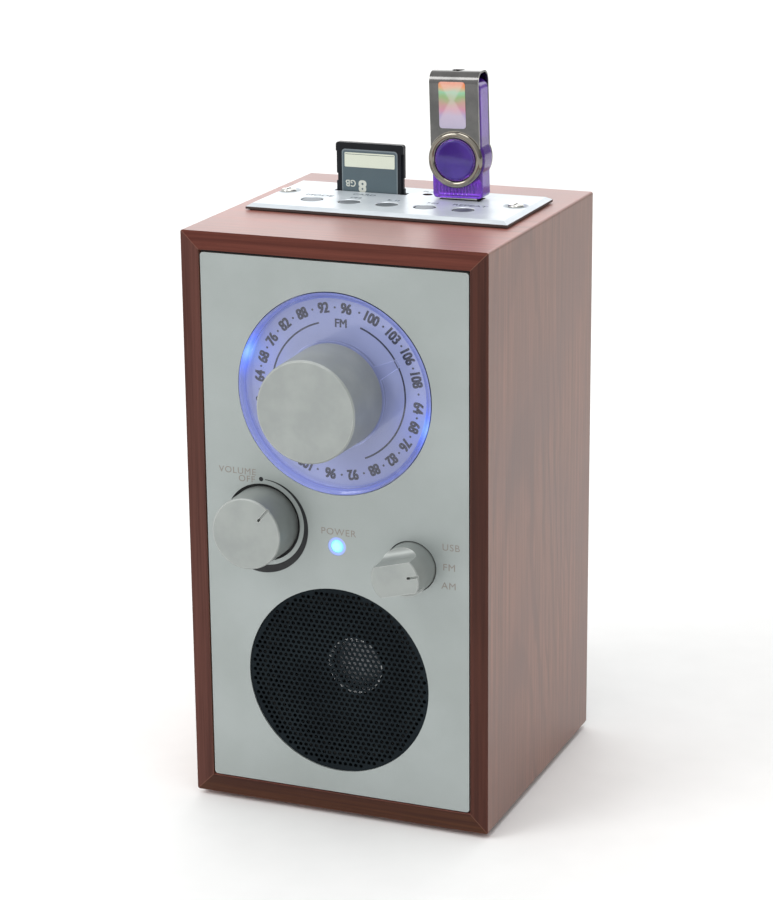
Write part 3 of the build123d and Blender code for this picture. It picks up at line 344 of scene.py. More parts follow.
def wood_veneer(name, grain_along_x, arch_middle, arch_foot, faces, edges):
    """Lacquered veneer with open pores, and darker, matter lippings on the boards' front and back edges; the
    lipping tone given for each board also carries painted light and shade.
    """
    finish = Finish(name, Coat_Roughness=0.44, Coat_IOR=1.5, IOR=1.48, Specular_IOR_Level=0.15)
    place = finish.split(finish.position)
    if grain_along_x:
        grain = finish.join(place["Y"], place["Z"], place["X"])
    else:
        grain = finish.join(place["Y"], place["X"], place["Z"])
    figure = finish.group(VENEER_FIGURE, {
        "Position": grain, "Arch Middle": arch_middle, "Arch Foot": arch_foot,
    })
    face = finish.two_tones(figure["Streaks"], faces[0], faces[1], 0.25, 0.75)
    face = finish.over(face, figure["Figure"], 0.38, "#4a3330")
    face = finish.over(face, figure["Pores"], 0.30, "#3a211b")
    tone = finish.noise(finish.position, 19.0, 3.0)
    face = finish.blend(finish.ramp(tone, 0.36, 0.66, 0.0, 0.45), face, colour("#6f4f47"))
    # The lipping tone is given per board, and its differences between boards are painted light and shade.
    edge = finish.two_tones(figure["Streaks"], edges[0], edges[1])
    on_edge = finish.ramp(finish.facing("Y"), 0.6, 0.9)
    base = finish.blend(on_edge, face, edge)
    finish.set("Coat Weight", finish.maths(
        "MULTIPLY_ADD", on_edge, COAT_ON_EDGES - COAT_ON_FACES, COAT_ON_FACES,
    ))
    base = finish.over(base, finish.edge_wear(0.4 * MM), 0.30, "#8a5a4a")
    base = finish.over(base, mitre_line(finish), 0.4, "#8f6757")
    base = finish.over(base, finish.dust(), 0.15, "#cbbdb4")
    finish.set("Base Color", base)
    finish.roughness(figure["Streaks"], 0.38, 0.46)
    relief = finish.maths("MULTIPLY_ADD", figure["Pores"], -0.8, figure["Streaks"])
    finish.bump(relief, 0.02 * MM, 0.6)
    return finish.material


def raw_wood():
    """Unfinished softwood for the corner blocks."""
    finish = Finish("raw_wood")
    place = finish.split(finish.position)
    grain = finish.join(place["X"], place["Z"], place["Y"])
    streaks = finish.noise(grain, (500.0, 500.0, 30.0), 4.0, 0.6)
    finish.set("Base Color", finish.two_tones(streaks, "#b08a5e", "#d9bd92"))
    finish.roughness(streaks, 0.62, 0.8)
    finish.bump(streaks, 0.08 * MM)
    return finish.material


# ---- Plastics, rubber and painted metal ----
def moulded(name, dark, light, roughness, grain=5200.0, relief=0.02, worn="#8a8d90", **settings):
    """Moulded or sprayed surface: two close shades, fine relief, lighter worn edges and dust."""
    finish = Finish(name, **settings)
    fine = finish.fine_texture(grain, 70.0)
    base = finish.two_tones(fine["Patches"], dark, light)
    base = finish.over(base, finish.edge_wear(0.25 * MM), 0.25, worn)
    base = finish.over(base, finish.dust(), 0.2, "#b9b7b2")
    finish.set("Base Color", base)
    finish.roughness(fine["Patches"], roughness - 0.05, roughness + 0.05)
    finish.bump(fine["Height"], relief * MM, 0.8)
    return finish.material


def grille_paint():
    """Matt black powder paint. Worn edges and dust would blur its close holes, so it has none."""
    finish = Finish("grille_paint", Specular_IOR_Level=0.1)
    fine = finish.fine_texture(5200.0, 70.0)
    finish.set("Base Color", finish.two_tones(fine["Patches"], "#171d21", "#1d2428"))
    finish.roughness(fine["Height"], 0.86, 0.94)
    finish.bump(fine["Height"], 0.01 * MM)
    return finish.material


def panel_paint():
    """Satin silver paint with fine metal flake on the front panel."""
    finish = Finish("front_panel_paint", Metallic=0.55, IOR=1.5)
    fine = finish.fine_texture(7000.0, 26.0)
    base = finish.two_tones(fine["Patches"], "#9da4a2", "#a8afae", 0.25, 0.75)
    flake = finish.ramp(fine["Height"], 0.45, 0.7, 0.0, 0.22)
    base = finish.blend(flake, base, colour("#ccd3cf"))
    base = finish.over(base, finish.edge_wear(0.2 * MM), 0.5, "#dfe4e2")
    finish.set("Base Color", base)
    finish.roughness(fine["Height"], 0.42, 0.52)
    finish.bump(fine["Height"], 0.008 * MM, 0.6)
    return finish.material


# ---- Metals ----
def satin_metal(name, centre, shades, roughness, metallic=1.0, across=FROM_FRONT, pitch=0.25):
    """Turned metal with a blasted satin skin, faint rings and brighter edges. The pitch is in millimetres."""
    finish = Finish(name, Metallic=metallic)
    rings = finish.turning_lines(centre, pitch * MM, across)
    fine = finish.fine_texture(6500.0, 110.0)
    base = finish.two_tones(fine["Patches"], shades[0], shades[1])
    base = finish.over(base, finish.edge_wear(0.3 * MM), 0.6, "#f2f2ee")
    finish.set("Base Color", base)
    finish.roughness(fine["Patches"], roughness - 0.03, roughness + 0.04)
    height = finish.maths("ADD", fine["Height"], finish.maths("MULTIPLY", rings["Height"], 0.7))
    finish.bump(height, 0.004 * MM)
    return finish.material


def plated(name, dark, light, roughness, scratch=(90.0, 90.0, 2600.0), metallic=1.0, painted_wall_shade=None):
    """Plated or rolled sheet metal with directional scratches. Its upright walls can take a dark colour of
    their own, which is painted shade and reflection.
    """
    finish = Finish(name, Metallic=metallic)
    scratches = finish.noise(finish.position, scratch, 3.0, 0.6)
    fine = finish.fine_texture(3000.0, 90.0)
    base = finish.two_tones(fine["Patches"], dark, light)
    base = finish.over(base, finish.edge_wear(0.2 * MM), 0.5, "#efeee8")
    # The upright walls get the given dark colour as painted shade and reflection.
    if painted_wall_shade:
        base = finish.blend(finish.ramp(finish.facing("Z"), 0.4, 0.2), base, colour(painted_wall_shade))
    finish.set("Base Color", base)
    finish.roughness(scratches, roughness - 0.03, roughness + 0.05)
    finish.bump(scratches, 0.0015 * MM)
    return finish.material


def gunmetal_cover():
    """The stick's cover: dark gunmetal sheet with a brighter chromed ring round the pivot."""
    finish = Finish("stick_cover_gunmetal", Metallic=1.0)
    rings = finish.turning_lines(RING, 0.3 * MM)
    fine = finish.fine_texture(2600.0, 140.0)
    sheet = finish.two_tones(fine["Patches"], "#5f5f5e", "#6f6e6d")
    on_ring = finish.ramp(rings["Radius"], 9.5 * MM, 9.2 * MM)
    base = finish.blend(on_ring, sheet, colour("#8d887e"))
    wear = finish.edge_wear(0.2 * MM)
    finish.set("Base Color", finish.over(base, wear, 0.6, "#f0ece0"))
    finish.set("Roughness", finish.maths("MULTIPLY_ADD", on_ring, -0.05, 0.15))
    finish.bump(fine["Height"], 0.002 * MM)
    return finish.material


# ---- Dial ----
LED_TURNS = (-70.0, 106.0)


def near_led(finish, reach):
    """A mask that is white at the two lamps behind the dial's rim and fades over reach, in metres."""
    masks = []
    for turn in LED_TURNS:
        angle = math.radians(turn)
        spot = DIAL + Vector((math.sin(angle), 0, math.cos(angle))) * (DIAL_RADIUS - 1.6 * MM)
        flat = finish.vector("MULTIPLY", finish.vector("SUBTRACT", finish.position, spot), FROM_FRONT)
        masks.append(finish.ramp(finish.vector("LENGTH", flat), reach, 0.0))
    return finish.maths("MAXIMUM", *masks)


def lit_scale():
    """The printed scale: translucent film lit from behind by two blue lamps."""
    finish = Finish("dial_scale_film", Roughness=0.5, Emission_Strength=0.48)
    rings = finish.turning_lines(DIAL, 0.4 * MM)
    fine = finish.fine_texture(5000.0, 50.0)
    outward = finish.ramp(rings["Radius"], 14 * MM, DIAL_RADIUS)
    finish.set("Base Color", finish.two_tones(fine["Patches"], "#7a819e", "#838aa7"))
    glow = finish.blend(outward, colour("#868eb2"), colour("#8c94c4"))
    glow = finish.blend(near_led(finish, 15 * MM), glow, colour("#7d90ee"))
    glow = finish.blend(near_led(finish, 6 * MM), glow, colour("#6f9cff"))
    finish.set("Emission Color", glow)
    finish.bump(fine["Height"], 0.01 * MM)
    return finish.material


def dial_acrylic():
    """The clear dial lens, tinted and lit in its bevelled rim."""
    finish = Finish(
        "dial_lens_acrylic", Transmission_Weight=1.0, IOR=1.49, Roughness=0.02, Emission_Strength=0.4,
    )
    rings = finish.turning_lines(DIAL, 0.3 * MM)
    bevel = finish.ramp(rings["Radius"], DIAL_RADIUS - 2.3 * MM, DIAL_RADIUS - 1.6 * MM)
    finish.set("Base Color", finish.blend(bevel, colour("#f6f7ff"), colour("#c6cce8")))
    band = finish.ramp(rings["Height"], 0.35, 0.65)
    edge = finish.blend(band, colour("#42486c"), colour("#686e98"))
    edge = finish.blend(near_led(finish, 10 * MM), edge, colour("#5b7cf0"))
    edge = finish.blend(near_led(finish, 4 * MM), edge, colour("#8fb8ff"))
    finish.set("Emission Color", finish.blend(bevel, BLACK, edge))
    finish.bump(rings["Height"], 0.01 * MM, 0.4)
    finish.let_lamps_through()
    return finish.material


def clear_plastic(name, tint, index):
    """Clear moulded plastic with faint flow marks, and pale edges that glow as painted highlight."""
    finish = Finish(name, Transmission_Weight=1.0, IOR=index, Roughness=0.03, Emission_Strength=0.5)
    fine = finish.fine_texture(900.0, 80.0)
    finish.set("Base Color", finish.blend(fine["Patches"], colour(tint), WHITE))
    # Painted highlight: the edges glow pale blue with light of their own.
    edge = finish.edge_wear(0.3 * MM)
    finish.set("Emission Color", finish.blend(edge, BLACK, colour("#b9c2f0")))
    finish.bump(fine["Height"], 0.004 * MM)
    finish.let_lamps_through()
    return finish.material


def glowing(name, centre, core, edge, radius, strength, across=FROM_FRONT):
    """A lamp's coloured plastic, with its own colours in the middle and at the edge."""
    finish = Finish(name, Roughness=0.25, Emission_Strength=strength)
    rings = finish.turning_lines(centre, 0.15 * MM, across)
    outward = finish.ramp(rings["Radius"], radius * 0.35, radius)
    tone = finish.blend(outward, colour(core), colour(edge))
    finish.set("Base Color", tone)
    finish.set("Emission Color", tone)
    finish.bump(rings["Height"], 0.004 * MM)
    return finish.material


# ---- Electronics ----
def circuit_board():
    """Green solder mask with copper tracks showing through."""
    finish = Finish("circuit_board_mask", Roughness=0.35, Coat_Weight=0.3)
    cells = finish.vector("MULTIPLY", finish.position, (260.0, 260.0, 260.0))
    tracks = finish.add("TexBrick", {
        "Vector": cells, "Scale": 1.0, "Mortar Size": 0.05, "Color1": BLACK,
        "Color2": BLACK, "Mortar": WHITE,
    })
    fine = finish.fine_texture(3000.0, 200.0)
    mask = finish.blend(fine["Patches"], colour("#0d4a26"), colour("#17643a"))
    finish.set("Base Color", finish.blend(tracks.outputs["Color"], mask, colour("#4c9a62")))
    finish.bump(tracks.outputs["Color"], 0.03 * MM)
    return finish.material


def wound_copper():
    """Enamelled wire wound side by side along X; each turn is painted lighter on its crest and darker in the
    grooves, as painted light and shade.
    """
    finish = Finish("wound_copper", Metallic=1.0, Roughness=0.35)
    along = finish.split(finish.position)["X"]
    turns = finish.maths("SINE", finish.maths("MULTIPLY", along, math.tau / (0.35 * MM)))
    # Painted light and shade: each turn is lighter on its crest and darker in the grooves between turns.
    lit = finish.ramp(turns, -1.0, 1.0)
    finish.set("Base Color", finish.blend(lit, colour("#5a2f18"), colour("#c9804e")))
    finish.bump(turns, 0.05 * MM)
    return finish.material


# ---- Stick, card and prints ----
def violet_plastic(name, deep, bright, transmission):
    """Translucent violet plastic, paler where it is thin."""
    finish = Finish(name, Transmission_Weight=transmission, IOR=1.46, Roughness=0.16, Coat_Weight=0.4)
    fine = finish.fine_texture(1200.0, 160.0)
    finish.set("Base Color", finish.two_tones(fine["Patches"], deep, bright))
    finish.bump(fine["Height"], 0.006 * MM)
    return finish.material


STICKER_WIDTH, STICKER_HEIGHT = 9.1 * MM, 15.0 * MM
STICKER_RISE, STICKER_SIDE = 17.7 * MM, -0.6 * MM
RING_STAND = 1.0 * MM


def rainbow_film():
    """Diffracting sticker: bands of colour across it with a fine ruled relief, and a pale hourglass of
    painted glint.
    """
    finish = Finish("rainbow_film", Metallic=0.2, Roughness=0.32)
    from_ring = finish.vector("SUBTRACT", finish.position, RING)
    rise = finish.vector("DOT_PRODUCT", from_ring, STICK_UP)
    from_foot = finish.maths("SUBTRACT", rise, STICKER_RISE - STICKER_HEIGHT / 2)
    share = finish.maths("DIVIDE", from_foot, STICKER_HEIGHT)
    drift = finish.maths("MULTIPLY_ADD", finish.noise(finish.position, 260.0, 2.0), 0.2, -0.1)
    bands = finish.add("ValToRGB", {"Fac": finish.maths("ADD", share, drift)})
    stops = (
        (0.02, "#a19ec6"), (0.24, "#b3a6ca"), (0.42, "#cd93a8"), (0.54, "#c29e92"),
        (0.66, "#98b581"), (0.78, "#94c9a6"), (0.88, "#e2a87c"), (0.98, "#ee8450"),
    )
    elements = bands.color_ramp.elements
    for (at, code), element in zip(stops, [elements[0], elements[1]]):
        element.position, element.color = at, colour(code)
    for at, code in stops[2:]:
        elements.new(at).color = colour(code)
    # A pale hourglass of painted glint, laid over the bands.
    side = finish.vector("DOT_PRODUCT", from_ring, STICK_RIGHT)
    across = finish.maths("ABSOLUTE", finish.maths("SUBTRACT", side, STICKER_SIDE))
    from_waist = finish.maths("ABSOLUTE", finish.maths("SUBTRACT", share, 0.6))
    painted_glint_edge = finish.maths("MULTIPLY_ADD", from_waist, 9.0 * MM, 0.6 * MM)
    painted_glint = finish.ramp(finish.maths("SUBTRACT", across, painted_glint_edge), 0.7 * MM, -0.4 * MM, 0.0, 0.35)
    ruled = finish.maths("SINE", finish.maths("MULTIPLY", rise, math.tau / (0.18 * MM)))
    finish.set("Base Color", finish.blend(painted_glint, bands.outputs["Color"], colour("#e3d9d8")))
    finish.bump(ruled, 0.003 * MM)
    return finish.material


def ink(name, tone, thin, roughness=0.5):
    """Screen-printed ink, a little uneven in density."""
    finish = Finish(name)
    fine = finish.fine_texture(4000.0, 300.0)
    density = finish.ramp(fine["Height"], 0.35, 0.75)
    finish.set("Base Color", finish.blend(density, colour(tone), colour(thin)))
    finish.roughness(fine["Patches"], roughness - 0.06, roughness + 0.06)
    finish.bump(fine["Height"], 0.003 * MM)
    return finish.material


# ---- Assigning finishes ----
def cover_node(material, *names):
    for name in names:
        slots = frame["nodes"][name].data.materials
        slots.clear()
        slots.append(material)


def finish_wood():
    sides, flats = ("#6d4634", "#9b6b59"), ("#8b5046", "#a5665a")
    # The last pair in each row is the lipping tone, shaded per board as painted light and shade: lighter on
    # the top board, darker on the right and bottom ones.
    boards = (
        ("right", False, -0.010, 0.116, sides, ("#3a1e17", "#502c23")),
        ("left", False, 0.004, 0.071, sides, ("#46261f", "#5f3931")),
        ("top", True, 0.030, -0.30, flats, ("#50241b", "#69362b")),
        ("bottom", True, -0.012, -0.24, flats, ("#3c2018", "#51301f")),
    )
    for board, *figure_and_tones in boards:
        cover_node(wood_veneer(f"veneer_{board}", *figure_and_tones), f"board_{board}")
    cover_node(raw_wood(), "corner_blocks")


KNOB_SHADES = ("#979c9a", "#a2a7a4")
BUTTON_SHADES = ("#6c7277", "#7e848a")
BUTTONS = [f"button_{name}" for name in ("mode", "previous", "play", "next", "repeat")]


def finish_front():
    cover_node(panel_paint(), "front_panel")
    cover_node(lit_scale(), "dial_scale")
    cover_node(dial_acrylic(), "dial_lens")
    # The pointer's pale glowing edges are painted highlight.
    cover_node(clear_plastic("pointer_acrylic", "#f0f2fc", 1.22), "tuning_pointer")
    cover_node(satin_metal("tuning_knob_satin", DIAL, KNOB_SHADES, 0.42, 0.3), "tuning_knob")
    cover_node(satin_metal("volume_knob_satin", VOLUME, KNOB_SHADES, 0.42, 0.5), "volume_knob")
    cover_node(satin_metal("band_knob_satin", BAND, KNOB_SHADES, 0.45, 0.45), "band_knob")
    cover_node(glowing("power_lamp_glow", LAMP, "#8eeaff", "#74b8ff", 2.3 * MM, 1.0), "power_lamp")
    cover_node(glowing("power_collar_glow", LAMP, "#a4bcf4", "#8e9fd8", 3.1 * MM, 0.4), "power_lamp_collar")
    cover_node(glowing("dial_led_glow", DIAL, "#cfe4ff", "#3f6cff", DIAL_RADIUS, 2.0), "dial_leds")


def finish_top():
    # The dark brown on the plate's upright edges is painted shade and reflection of the wood.
    plate = plated("media_plate_aluminium", "#c6ced4", "#d2d9de", 0.36, (2200.0, 60.0, 60.0), 0.3, "#4a3f3c")
    cover_node(plate, "media_plate")
    for node in BUTTONS:
        metal = satin_metal(f"{node}_metal", middle(node), BUTTON_SHADES, 0.45, 0.6, FROM_ABOVE, 0.12)
        cover_node(metal, node)
    steel_shades = ("#c2c2bd", "#d6d5cf")
    steel = satin_metal("screw_steel", middle("media_screws"), steel_shades, 0.2, 1.0, FROM_ABOVE, 0.2)
    cover_node(steel, "media_screws", "rear_screws", "front_screws", "baffle_screws", "control_nuts")
    lamp = glowing("mode_lamp_glow", middle("mode_lamp"), "#b08482", "#3c2a2c", 1.5 * MM, 0.1, FROM_ABOVE)
    cover_node(lamp, "mode_lamp")
    shell = moulded("card_shell", "#15181c", "#1d2126", 0.42, worn="#4a4f56", Specular_IOR_Level=0.2)
    cover_node(shell, "memory_card")
    cover_node(violet_plastic("stick_violet", "#7430cc", "#9049e6", 0.65), "stick_body")
    cover_node(gunmetal_cover(), "stick_cover")
    cover_node(plated("bright_steel", "#b4b4b0", "#c9c8c2", 0.18), "stick_plug", "usb_socket")


def finish_rest():
    cover_node(grille_paint(), "speaker_grille")
    cover_node(moulded("rear_black", "#101113", "#18191b", 0.55, 2600.0, 0.06), "rear_cover")
    cover_node(moulded("socket_black", "#0c0c0e", "#151517", 0.4), "aux_jack", "dc_inlet", "card_socket")
    cover_node(moulded("foot_rubber", "#0e0e0e", "#191918", 0.75, 1800.0, 0.05), "feet")
    cover_node(
        moulded("inner_black", "#131415", "#1c1d1f", 0.6),
        "front_baffle", "media_frame", "volume_control", "band_switch", "button_switches", "aerial_clips",
    )
    white = moulded("lamp_housing_white", "#cfcfca", "#deded9", 0.5, worn="#f0f0ea")
    cover_node(white, "dial_cup", "tuning_capacitor")
    shaft = plated("shaft_steel", "#9a9a97", "#b0afab", 0.24)
    cover_node(shaft, "tuning_shaft", "volume_shaft", "band_shaft")
    cover_node(plated("basket_steel", "#6f7173", "#85878a", 0.34), "speaker_basket")
    cap = satin_metal("dust_cap_metal", GRILLE, ("#84888c", "#9c9fa2"), 0.26, pitch=0.5)
    cover_node(cap, "speaker_dust_cap")
    paper = moulded("cone_paper", "#0d0e10", "#17181b", 0.8, 1500.0, 0.08)
    cover_node(paper, "speaker_cone", "speaker_gasket")
    cover_node(moulded("surround_rubber", "#0a0a0b", "#131314", 0.6), "speaker_surround")
    cover_node(moulded("magnet_iron", "#2c2d30", "#3a3b3f", 0.5), "speaker_magnet")
    cover_node(moulded("ferrite_rod", "#26262a", "#303036", 0.55), "aerial_rod")
    cover_node(circuit_board(), "main_board", "media_board")
    cover_node(wound_copper(), "aerial_coil", "voice_coil")


# ---- Mesh helpers ----
MERGE_DISTANCE = 1e-7


def show(name, shape, material, body):
    """Turns a bmesh in frame coordinates into a piece that rides on a body."""
    mesh = bpy.data.meshes.new(name)
    shape.to_mesh(mesh)
    shape.free()
    piece = bpy.data.objects.new(name, mesh)
    bpy.context.scene.collection.objects.link(piece)
    mesh.materials.append(material)
    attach(piece, body)
    return piece


def smooth_by_angle(piece, degrees):
    """Smooth shading with sharp edges kept over that angle."""
    shape = bmesh.new()
    shape.from_mesh(piece.data)
    for face in shape.faces:
        face.smooth = True
    for edge in shape.edges:
        edge.smooth = edge.calc_face_angle(0.0) < math.radians(degrees)
    shape.to_mesh(piece.data)
    shape.free()


def add_loops(shape, loops, closed_ends=True):
    """Joins equal rings of points into a skin, and can cap the two ends."""
    rings = [[shape.verts.new(point) for point in loop] for loop in loops]
    count = len(rings[0])
    for first, second in zip(rings, rings[1:]):
        for i in range(count):
            j = (i + 1) % count
            shape.faces.new((first[i], first[j], second[j], second[i]))
    if closed_ends:
        shape.faces.new(rings[0][::-1])
        shape.faces.new(rings[-1])


def rounded_outline(width, height, radius, steps=6):
    """Points of a rectangle with rounded corners, counter-clockwise, about the origin."""
    points = []
    for corner in range(4):
        turn = corner * math.pi / 2
        side_x = (1, -1, -1, 1)[corner]
        side_y = (1, 1, -1, -1)[corner]
        centre = (side_x * (width / 2 - radius), side_y * (height / 2 - radius))
        for step in range(steps + 1):
            angle = turn + math.pi / 2 * step / steps
            points.append((centre[0] + radius * math.cos(angle), centre[1] + radius * math.sin(angle)))
    return points


BOLD_RISE, BOLD_STEP = 0.6, 0.001 * MM


class Artwork:
    """Thin shapes on a flat face, drawn in metres right and up from the face's own origin."""

    def __init__(self, origin, right, up, thickness=0.02 * MM, lift=0.01 * MM):
        out = right.cross(up)
        self.place = Matrix((right, up, out)).transposed().to_4x4()
        self.place.translation = origin
        self.thickness = thickness
        self.lift = lift
        self.shape = bmesh.new()

    def point(self, x, y, height):
        return self.place @ Vector((x, y, height))

    def outline(self, points):
        """A filled shape; the points run counter-clockwise and bulge outwards everywhere."""
        heights = (self.lift, self.lift + self.thickness)
        add_loops(self.shape, [[self.point(x, y, height) for x, y in points] for height in heights])

    def disc(self, x, y, radius, steps=24):
        turns = [math.tau * step / steps for step in range(steps)]
        self.outline([(x + radius * math.cos(turn), y + radius * math.sin(turn)) for turn in turns])

    def patch(self, x, y, width, height, radius):
        self.outline([(x + px, y + py) for px, py in rounded_outline(width, height, radius)])

    def arc(self, x, y, inner, outer, start, end, steps=64):
        """A curved band at clockwise angles from the top. inner and outer may change along it."""
        heights = (self.lift, self.lift + self.thickness)
        sections = []
        for step in range(steps + 1):
            share = step / steps
            turn = math.radians(start + (end - start) * share)
            radii = [radius(share) if callable(radius) else radius for radius in (inner, outer)]
            corners = [(radii[i], heights[j]) for i, j in ((0, 0), (1, 0), (1, 1), (0, 1))]
            sections.append([
                self.point(x + radius * math.sin(turn), y + radius * math.cos(turn), height)
                for radius, height in corners
            ])
        add_loops(self.shape, sections)

    def letters(self, text, x, y, height, turn=0.0, narrow=1.0, bold=0.0, spacing=1.0):
        """Upright lettering of that height, centred at (x, y) and turned clockwise.

        Bold lettering is five copies: the middle one, and four shifted sideways by that share of the
        height and up or down by BOLD_RISE of it, each a hair above the last.
        """
        curve = bpy.data.curves.new("lettering", "FONT")
        curve.body = text
        curve.space_character = spacing
        curve.extrude = 0.5
        curve.resolution_u = 5
        carrier = bpy.data.objects.new("lettering", curve)
        mesh = bpy.data.meshes.new_from_object(carrier)
        bpy.data.objects.remove(carrier)
        corners = [vertex.co for vertex in mesh.vertices]
        low = Vector([min(corner[axis] for corner in corners) for axis in range(3)])
        high = Vector([max(corner[axis] for corner in corners) for axis in range(3)])
        scale = height / (high.y - low.y)
        centred = Matrix.Translation(-Vector(((low.x + high.x) / 2, (low.y + high.y) / 2, low.z)))
        sized = Matrix.Diagonal((scale * narrow, scale, self.thickness, 1.0))
        turned = Matrix.Rotation(-math.radians(turn), 4, "Z")
        moved = Matrix.Translation((x, y, self.lift))
        ways = ((0, 0), (-1, -1), (1, -1), (-1, 1), (1, 1)) if bold else ((0, 0),)
        for layer, (across, upward) in enumerate(ways):
            reach = bold * height
            shifted = Matrix.Translation((across * reach, upward * reach * BOLD_RISE, layer * BOLD_STEP))
            copy = mesh.copy()
            copy.transform(self.place @ moved @ turned @ shifted @ sized @ centred)
            self.shape.from_mesh(copy)
            bpy.data.meshes.remove(copy)
        bpy.data.meshes.remove(mesh)

    def show(self, name, material, body, slot):
        bmesh.ops.remove_doubles(self.shape, verts=self.shape.verts, dist=MERGE_DISTANCE)
        bmesh.ops.recalc_face_normals(self.shape, faces=self.shape.faces)
        return show(name, self.shape, material, body)


def turned_piece(name, centre, outline, material, body, steps=96):
    """A closed solid turned about a front-to-back axis. The outline is (radius, y offset) points."""
    shape = bmesh.new()
    rings = []
    for step in range(steps):
        turn = math.tau * step / steps
        rings.append([
            centre + Vector((radius * math.sin(turn), depth, radius * math.cos(turn)))
            for radius, depth in outline
        ])
    add_loops(shape, rings + [rings[0]], closed_ends=False)
    bmesh.ops.remove_doubles(shape, verts=shape.verts, dist=MERGE_DISTANCE)
    bmesh.ops.recalc_face_normals(shape, faces=shape.faces)
    piece = show(name, shape, material, body)
    smooth_by_angle(piece, 30)
    return piece


# ---- Dial print ----
SCALE_NUMBERS = (
    ("64", -84.0), ("68", -70.3), ("76", -56.0), ("82", -41.4), ("88", -26.2), ("92", -9.8),
    ("96", 6.5), ("100", 25.5), ("103", 43.8), ("106", 60.5), ("108", 76.9),
)
NUMBER_RADIUS, NUMBER_HEIGHT = 27.1 * MM, 3.25 * MM
SCALE_DOT_RADIUS = 0.36 * MM
BAND_ARC_RADIUS, BAND_ARC_WIDTH = 22.6 * MM, 0.55 * MM


def around_dial(turn, radius):
    angle = math.radians(turn)
    return radius * math.sin(angle), radius * math.cos(angle)


def dial_print():
    """Two half circles of frequencies with dots between them, and the band's arc and name."""
    art = Artwork(Vector((DIAL.x, SCALE_FACE, DIAL.z)), RIGHT, UP)
    for half_turn in (0.0, 180.0):
        for i, (number, turn) in enumerate(SCALE_NUMBERS):
            x, y = around_dial(turn + half_turn, NUMBER_RADIUS)
            art.letters(number, x, y, NUMBER_HEIGHT, turn + half_turn, narrow=0.78, bold=0.062)
            last = i + 1 == len(SCALE_NUMBERS)
            following = SCALE_NUMBERS[0][1] + 180 if last else SCALE_NUMBERS[i + 1][1]
            x, y = around_dial((turn + following) / 2 + half_turn, NUMBER_RADIUS)
            art.disc(x, y, SCALE_DOT_RADIUS, 14)
    width = BAND_ARC_WIDTH / 2
    for start, end in ((20.0, 157.0), (-122.0, -16.0)):
        art.arc(0.0, 0.0, BAND_ARC_RADIUS - width, BAND_ARC_RADIUS + width, start, end)
    art.letters("FM", 1.2 * MM, BAND_ARC_RADIUS - 0.4 * MM, 2.6 * MM, narrow=0.9, bold=0.045)
    art.show("dial_print", ink("scale_ink", "#161c38", "#252d50"), "cabinet", "printed_scale")


# ---- Panel print ----
def panel_print():
    """Names of the controls, and the volume control's dot and growing crescent."""
    origin = Vector((0.0, PANEL_FACE, CABINET_FOOT))
    names = Artwork(origin, RIGHT, UP)
    labels = (
        ("VOLUME", -34.0, 112.75, 2.1), ("OFF", -30.7, 110.3, 2.1), ("POWER", 1.0, 95.95, 2.2),
        ("USB", 39.1, 95.2, 2.2), ("FM", 38.4, 88.6, 2.2), ("AM", 38.15, 82.5, 2.2),
    )
    for text, x, height, size in labels:
        names.letters(text, x * MM, height * MM, size * MM, narrow=1.04, spacing=1.12)
    names.show("panel_names", ink("label_ink", "#878079", "#938c85"), "cabinet", "front_metal")

    marks = Artwork(origin, RIGHT, UP)
    x, height = VOLUME.x, VOLUME.z - CABINET_FOOT
    marks.disc(x - 0.35 * MM, height + 14.4 * MM, 0.75 * MM)
    marks.arc(
        x, height, 14.3 * MM, lambda share: (14.5 + 2.5 * min(1.0, share * 1.35)) * MM, 4.0, 243.0, steps=96,
    )
    marks.show("volume_marks", ink("marking_black", "#0c0e12", "#16191e"), "cabinet", "front_metal")


# ---- Grille ----
HOLE_PITCH, HOLE_RADIUS, HOLE_MARGIN = 1.85 * MM, 0.66 * MM, 0.25 * MM
GRILLE_SHEET, GRILLE_WALL = 0.6 * MM, 0.8 * MM


def grille_holes():
    """Centres of the holes, in staggered rows that stay inside the sheet's edge."""
    row_pitch = HOLE_PITCH * math.sqrt(3) / 2
    reach = GRILLE_RADIUS - HOLE_RADIUS - HOLE_MARGIN
    rows = int(reach / row_pitch)
    columns = int(reach / HOLE_PITCH) + 1
    for row in range(-rows, rows + 1):
        shift = HOLE_PITCH / 2 if row % 2 else 0.0
        for column in range(-columns, columns + 1):
            x, y = column * HOLE_PITCH + shift, row * row_pitch
            if math.hypot(x, y) <= reach:
                yield x, y


def grille_mesh():
    """The flat sheet with its holes, about the origin."""
    curve = bpy.data.curves.new("grille_sheet", "CURVE")
    curve.dimensions = "2D"
    curve.fill_mode = "BOTH"
    curve.extrude = GRILLE_SHEET / 2
    circles = [(0.0, 0.0, GRILLE_RADIUS, 180)]
    circles += [(x, y, HOLE_RADIUS, 10) for x, y in grille_holes()]
    for x, y, radius, steps in circles:
        spline = curve.splines.new("POLY")
        spline.points.add(steps - 1)
        for step, point in enumerate(spline.points):
            turn = math.tau * step / steps
            point.co = (x + radius * math.cos(turn), y + radius * math.sin(turn), 0.0, 1.0)
        spline.use_cyclic_u = True
    carrier = bpy.data.objects.new("grille_sheet", curve)
    mesh = bpy.data.meshes.new_from_object(carrier)
    bpy.data.objects.remove(carrier)
    return mesh


